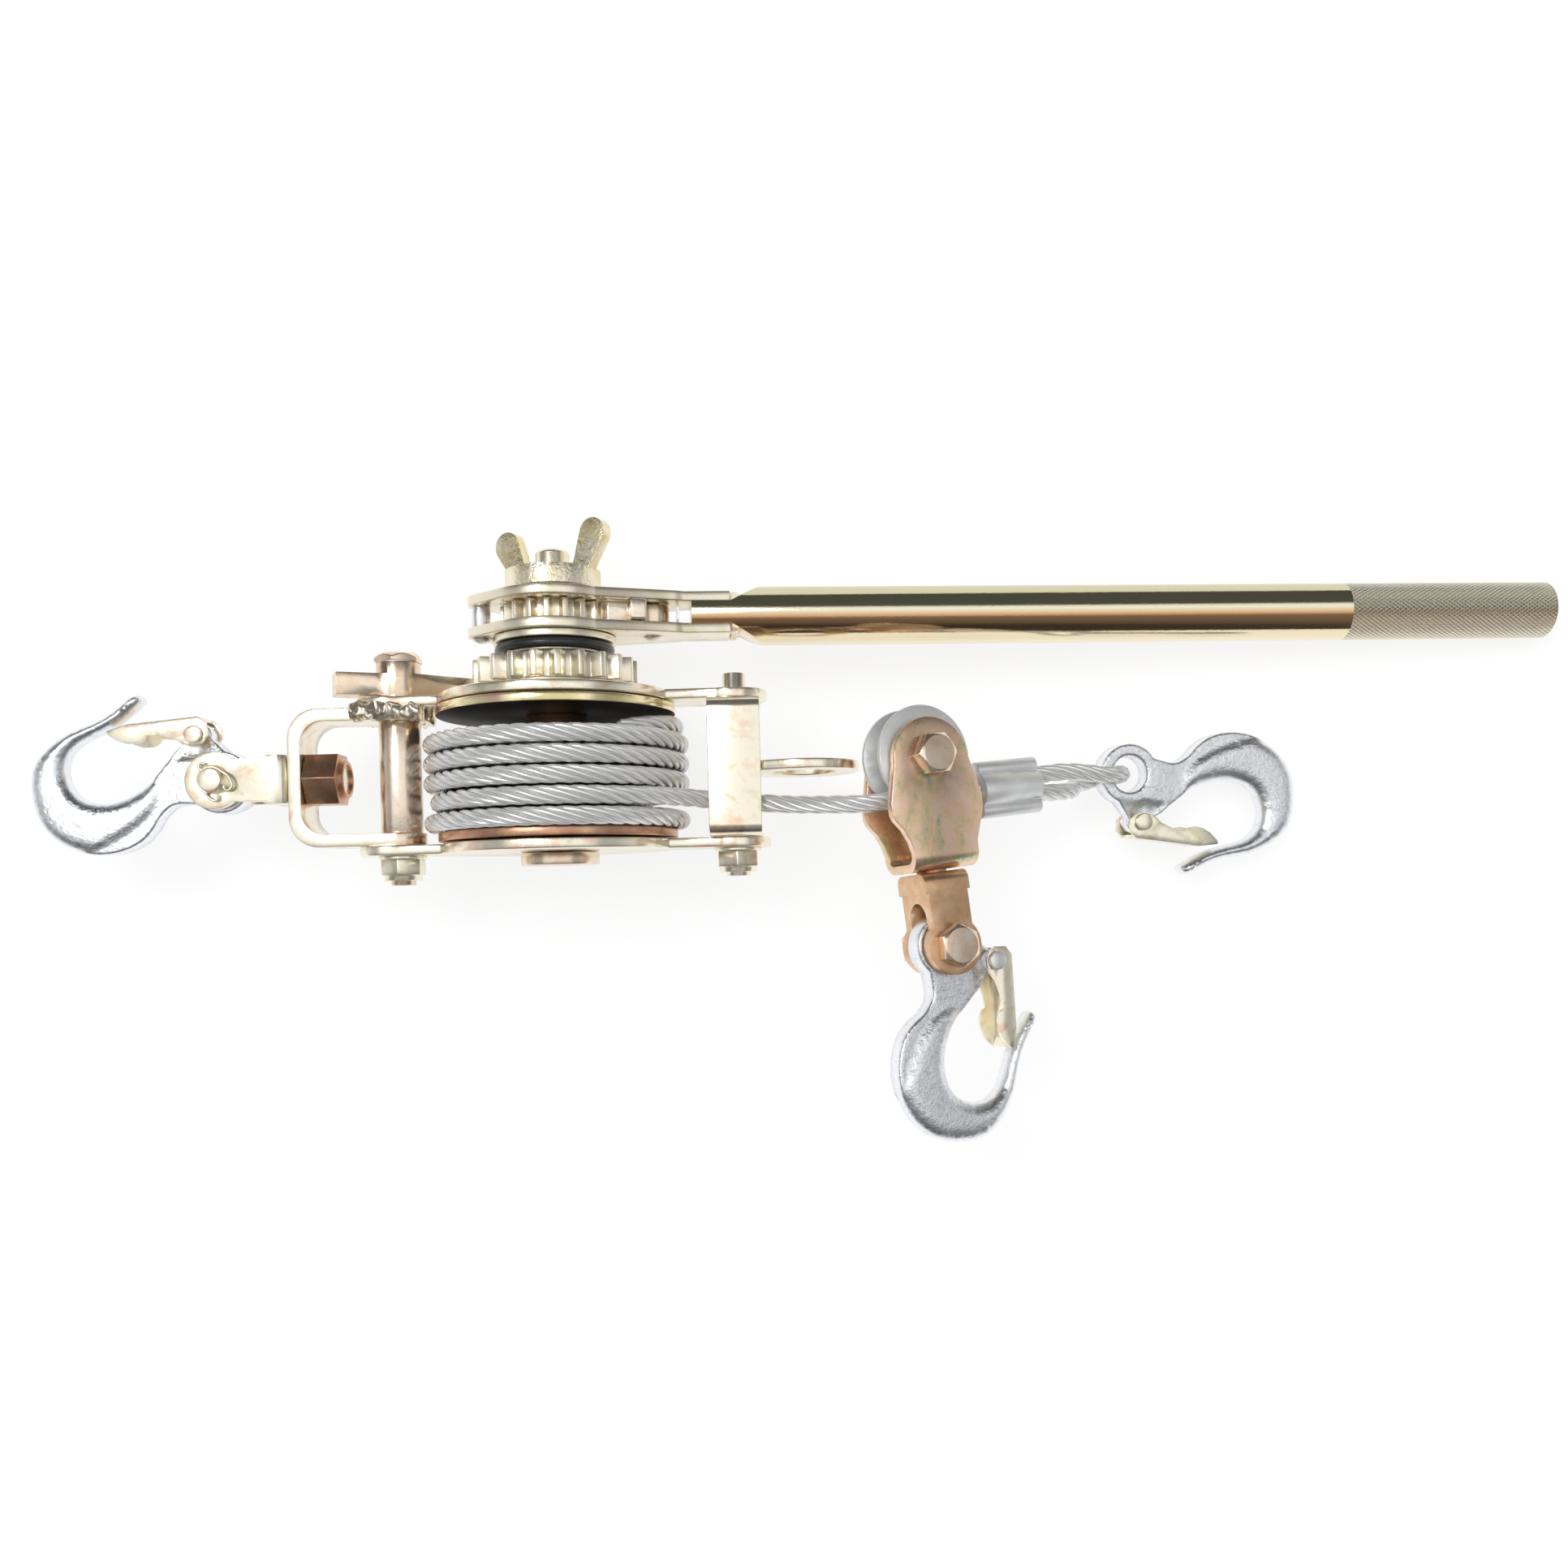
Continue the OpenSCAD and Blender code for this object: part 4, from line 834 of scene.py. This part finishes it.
def relief(p, depth, hole):
    rim = min(depth, max(p.length - hole, 0))
    flat = EYE_HALF - 0.5 * min(1, max(0, (p.x - 12) / 10))
    flat = flat - EYE_RIM + EYE_RIM * quarter(rim, EYE_RIM)
    if p.y > 10 and p.x < 17 and p.length > EYE_R + 0.6:
        return EAR_HALF - EAR_RIM + EAR_RIM * quarter(depth, EAR_RIM)
    if p.y < 8:         # how far past the curved line where the eye's flat face ends
        nose = p.x - 24 - 0.05 * (p.y + 3) ** 2
    else:
        nose = 20 if p.x > 24 else -1
    if nose <= 0:
        return flat
    body = WALL + (BODY_HALF - WALL) * quarter(min(depth, nose * 1.3 + 0.6), BODY_HALF)
    share = min(1, nose / 5)
    return max(body, flat * (1 - share) + body * share)


def hook(name, body, place, hole, node):
    bm = bmesh.new()
    spots, depths, triangles = plan_of_hook(hole)
    verts = [bm.verts.new((p.x, p.y, relief(p, d, hole))) for p, d in zip(spots, depths)]
    for t in triangles:
        bm.faces.new([verts[k] for k in t])
    bmesh.ops.delete(bm, geom=[v for v in bm.verts if not v.link_faces], context="VERTS")
    inner = [v for v in bm.verts if not v.is_boundary]
    for _ in range(2):
        bmesh.ops.smooth_vert(bm, verts=inner, factor=0.4, use_axis_z=True)
    edge = [e for e in bm.edges if e.is_boundary]
    wall = bmesh.ops.extrude_edge_only(bm, edges=edge)
    for v in [v for v in wall["geom"] if isinstance(v, bmesh.types.BMVert)]:
        v.co.z = 0
    bmesh.ops.mirror(bm, geom=list(bm.verts) + list(bm.edges) + list(bm.faces), axis="Z", merge_dist=1e-4)
    bmesh.ops.recalc_face_normals(bm, faces=bm.faces)
    bm.transform(place)
    return finish_mesh(bm, name, body, hook_zinc, [node], sharp=50)


hook("left_hook_forging", "left_hook", left_pin_place, PIN_HOLE, "left_hook")
hook("lower_hook_forging", "lower_hook", lower_pin_place, PIN_HOLE, "lower_hook")
right = hook("right_hook_forging", "right_hook", right_pin_place, ROPE_HOLE, "right_hook")
print("three forged hooks, the right one of", len(right.data.polygons), "faces")

# %% [markdown]
# ## Weld beads
# A stick weld is a row of overlapping drops. A thin tube is swept along the joint, then every corner
# of it is pushed in and out by noise, slowly for the drops and finely for the ragged skin.


# %% beads
def weld_bead(name, body, points, radius, place, replaced):
    bm = bmesh.new()
    sweep(bm, even_route(smooth_route(points, 6), 0.7), radius, 14)
    for v in bm.verts:
        push = noise.noise(v.co * 0.3) * 0.5 + noise.noise(v.co * 1.0) * 0.22
        v.co += Vector((0, push, noise.noise(v.co * 0.5 + Vector((9, 2, 4))) * 0.5)) * radius
    bm.transform(place)
    return finish_mesh(bm, name, body, tooth_gold, replaced, sharp=70)


BAIL_BEAD_R, HANDLE_BEAD_R = 3.5, 2.0
for k, z in enumerate((11.6, -11.6)):
    points = [(-81, 26.2, z), (-74, 26.4, z * 1.04), (-63, 26, z * 1.02), (-53, 25.6, z)]
    weld_bead("bail_bead_" + "ab"[k], "frame", points, BAIL_BEAD_R, drum_place,
              ["bail_weld"] if k == 0 else [])
for k, side in enumerate((1, -1)):
    low = HANDLE_Y + side * 6.2
    points = [(73.2, low, -9), (74, low + side * 0.8, -4), (74.3, low + side, 1),
              (74, low + side * 0.8, 5), (73.2, low, 9)]
    weld_bead("handle_bead_" + "ab"[k], "handle", points, HANDLE_BEAD_R, handle_place,
              ["handle_weld"] if k == 0 else [])
print("four weld beads")

# %% [markdown]
# ## The clip on the left pin
# One springy wire holds the pin: a ring round its groove, with a small eye at one end and two bent
# tails. It is a single thin tube swept along its bends.

# %% pin clip
CLIP_Z, CLIP_R, CLIP_WIRE_R = 13.4, 5.4, 0.6
clip_bends = [(-2.3, 6.4), (-3.6, 7.0), (-4.7, 6.1), (-4.6, 4.8), (-3.4, 4.2), (-2.2, 4.9)]
clip_bends += [tuple(p) for p in arc(CLIP_R, 118, 252, 8)]
clip_bends += [(-2.4, -5.6), (-0.4, -7.4), (1.4, -8.3), (2.4, -7.4), (2.2, -5.6)]
tail_bends = [(-2.4, 5.0)] + [tuple(p) for p in arc(CLIP_R, 108, 40, 6)]
tail_bends += [(6.2, 2.2), (8.0, -0.4), (8.3, -2.6), (6.9, -4.2), (5.3, -3.6), (4.9, -2.2)]
bm = bmesh.new()
for bends in (clip_bends, tail_bends):
    sweep(bm, even_route(smooth_route([(x, y, CLIP_Z) for x, y in bends], 5), 0.5), CLIP_WIRE_R, 10)
bm.transform(left_pin_middle)
finish_mesh(bm, "pin_wire_clip", body_of_node("left_pin_clip"), tooth_gold, ["left_pin_clip"], sharp=70)
print("one wire clip")

# %% sizes
low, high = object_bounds()
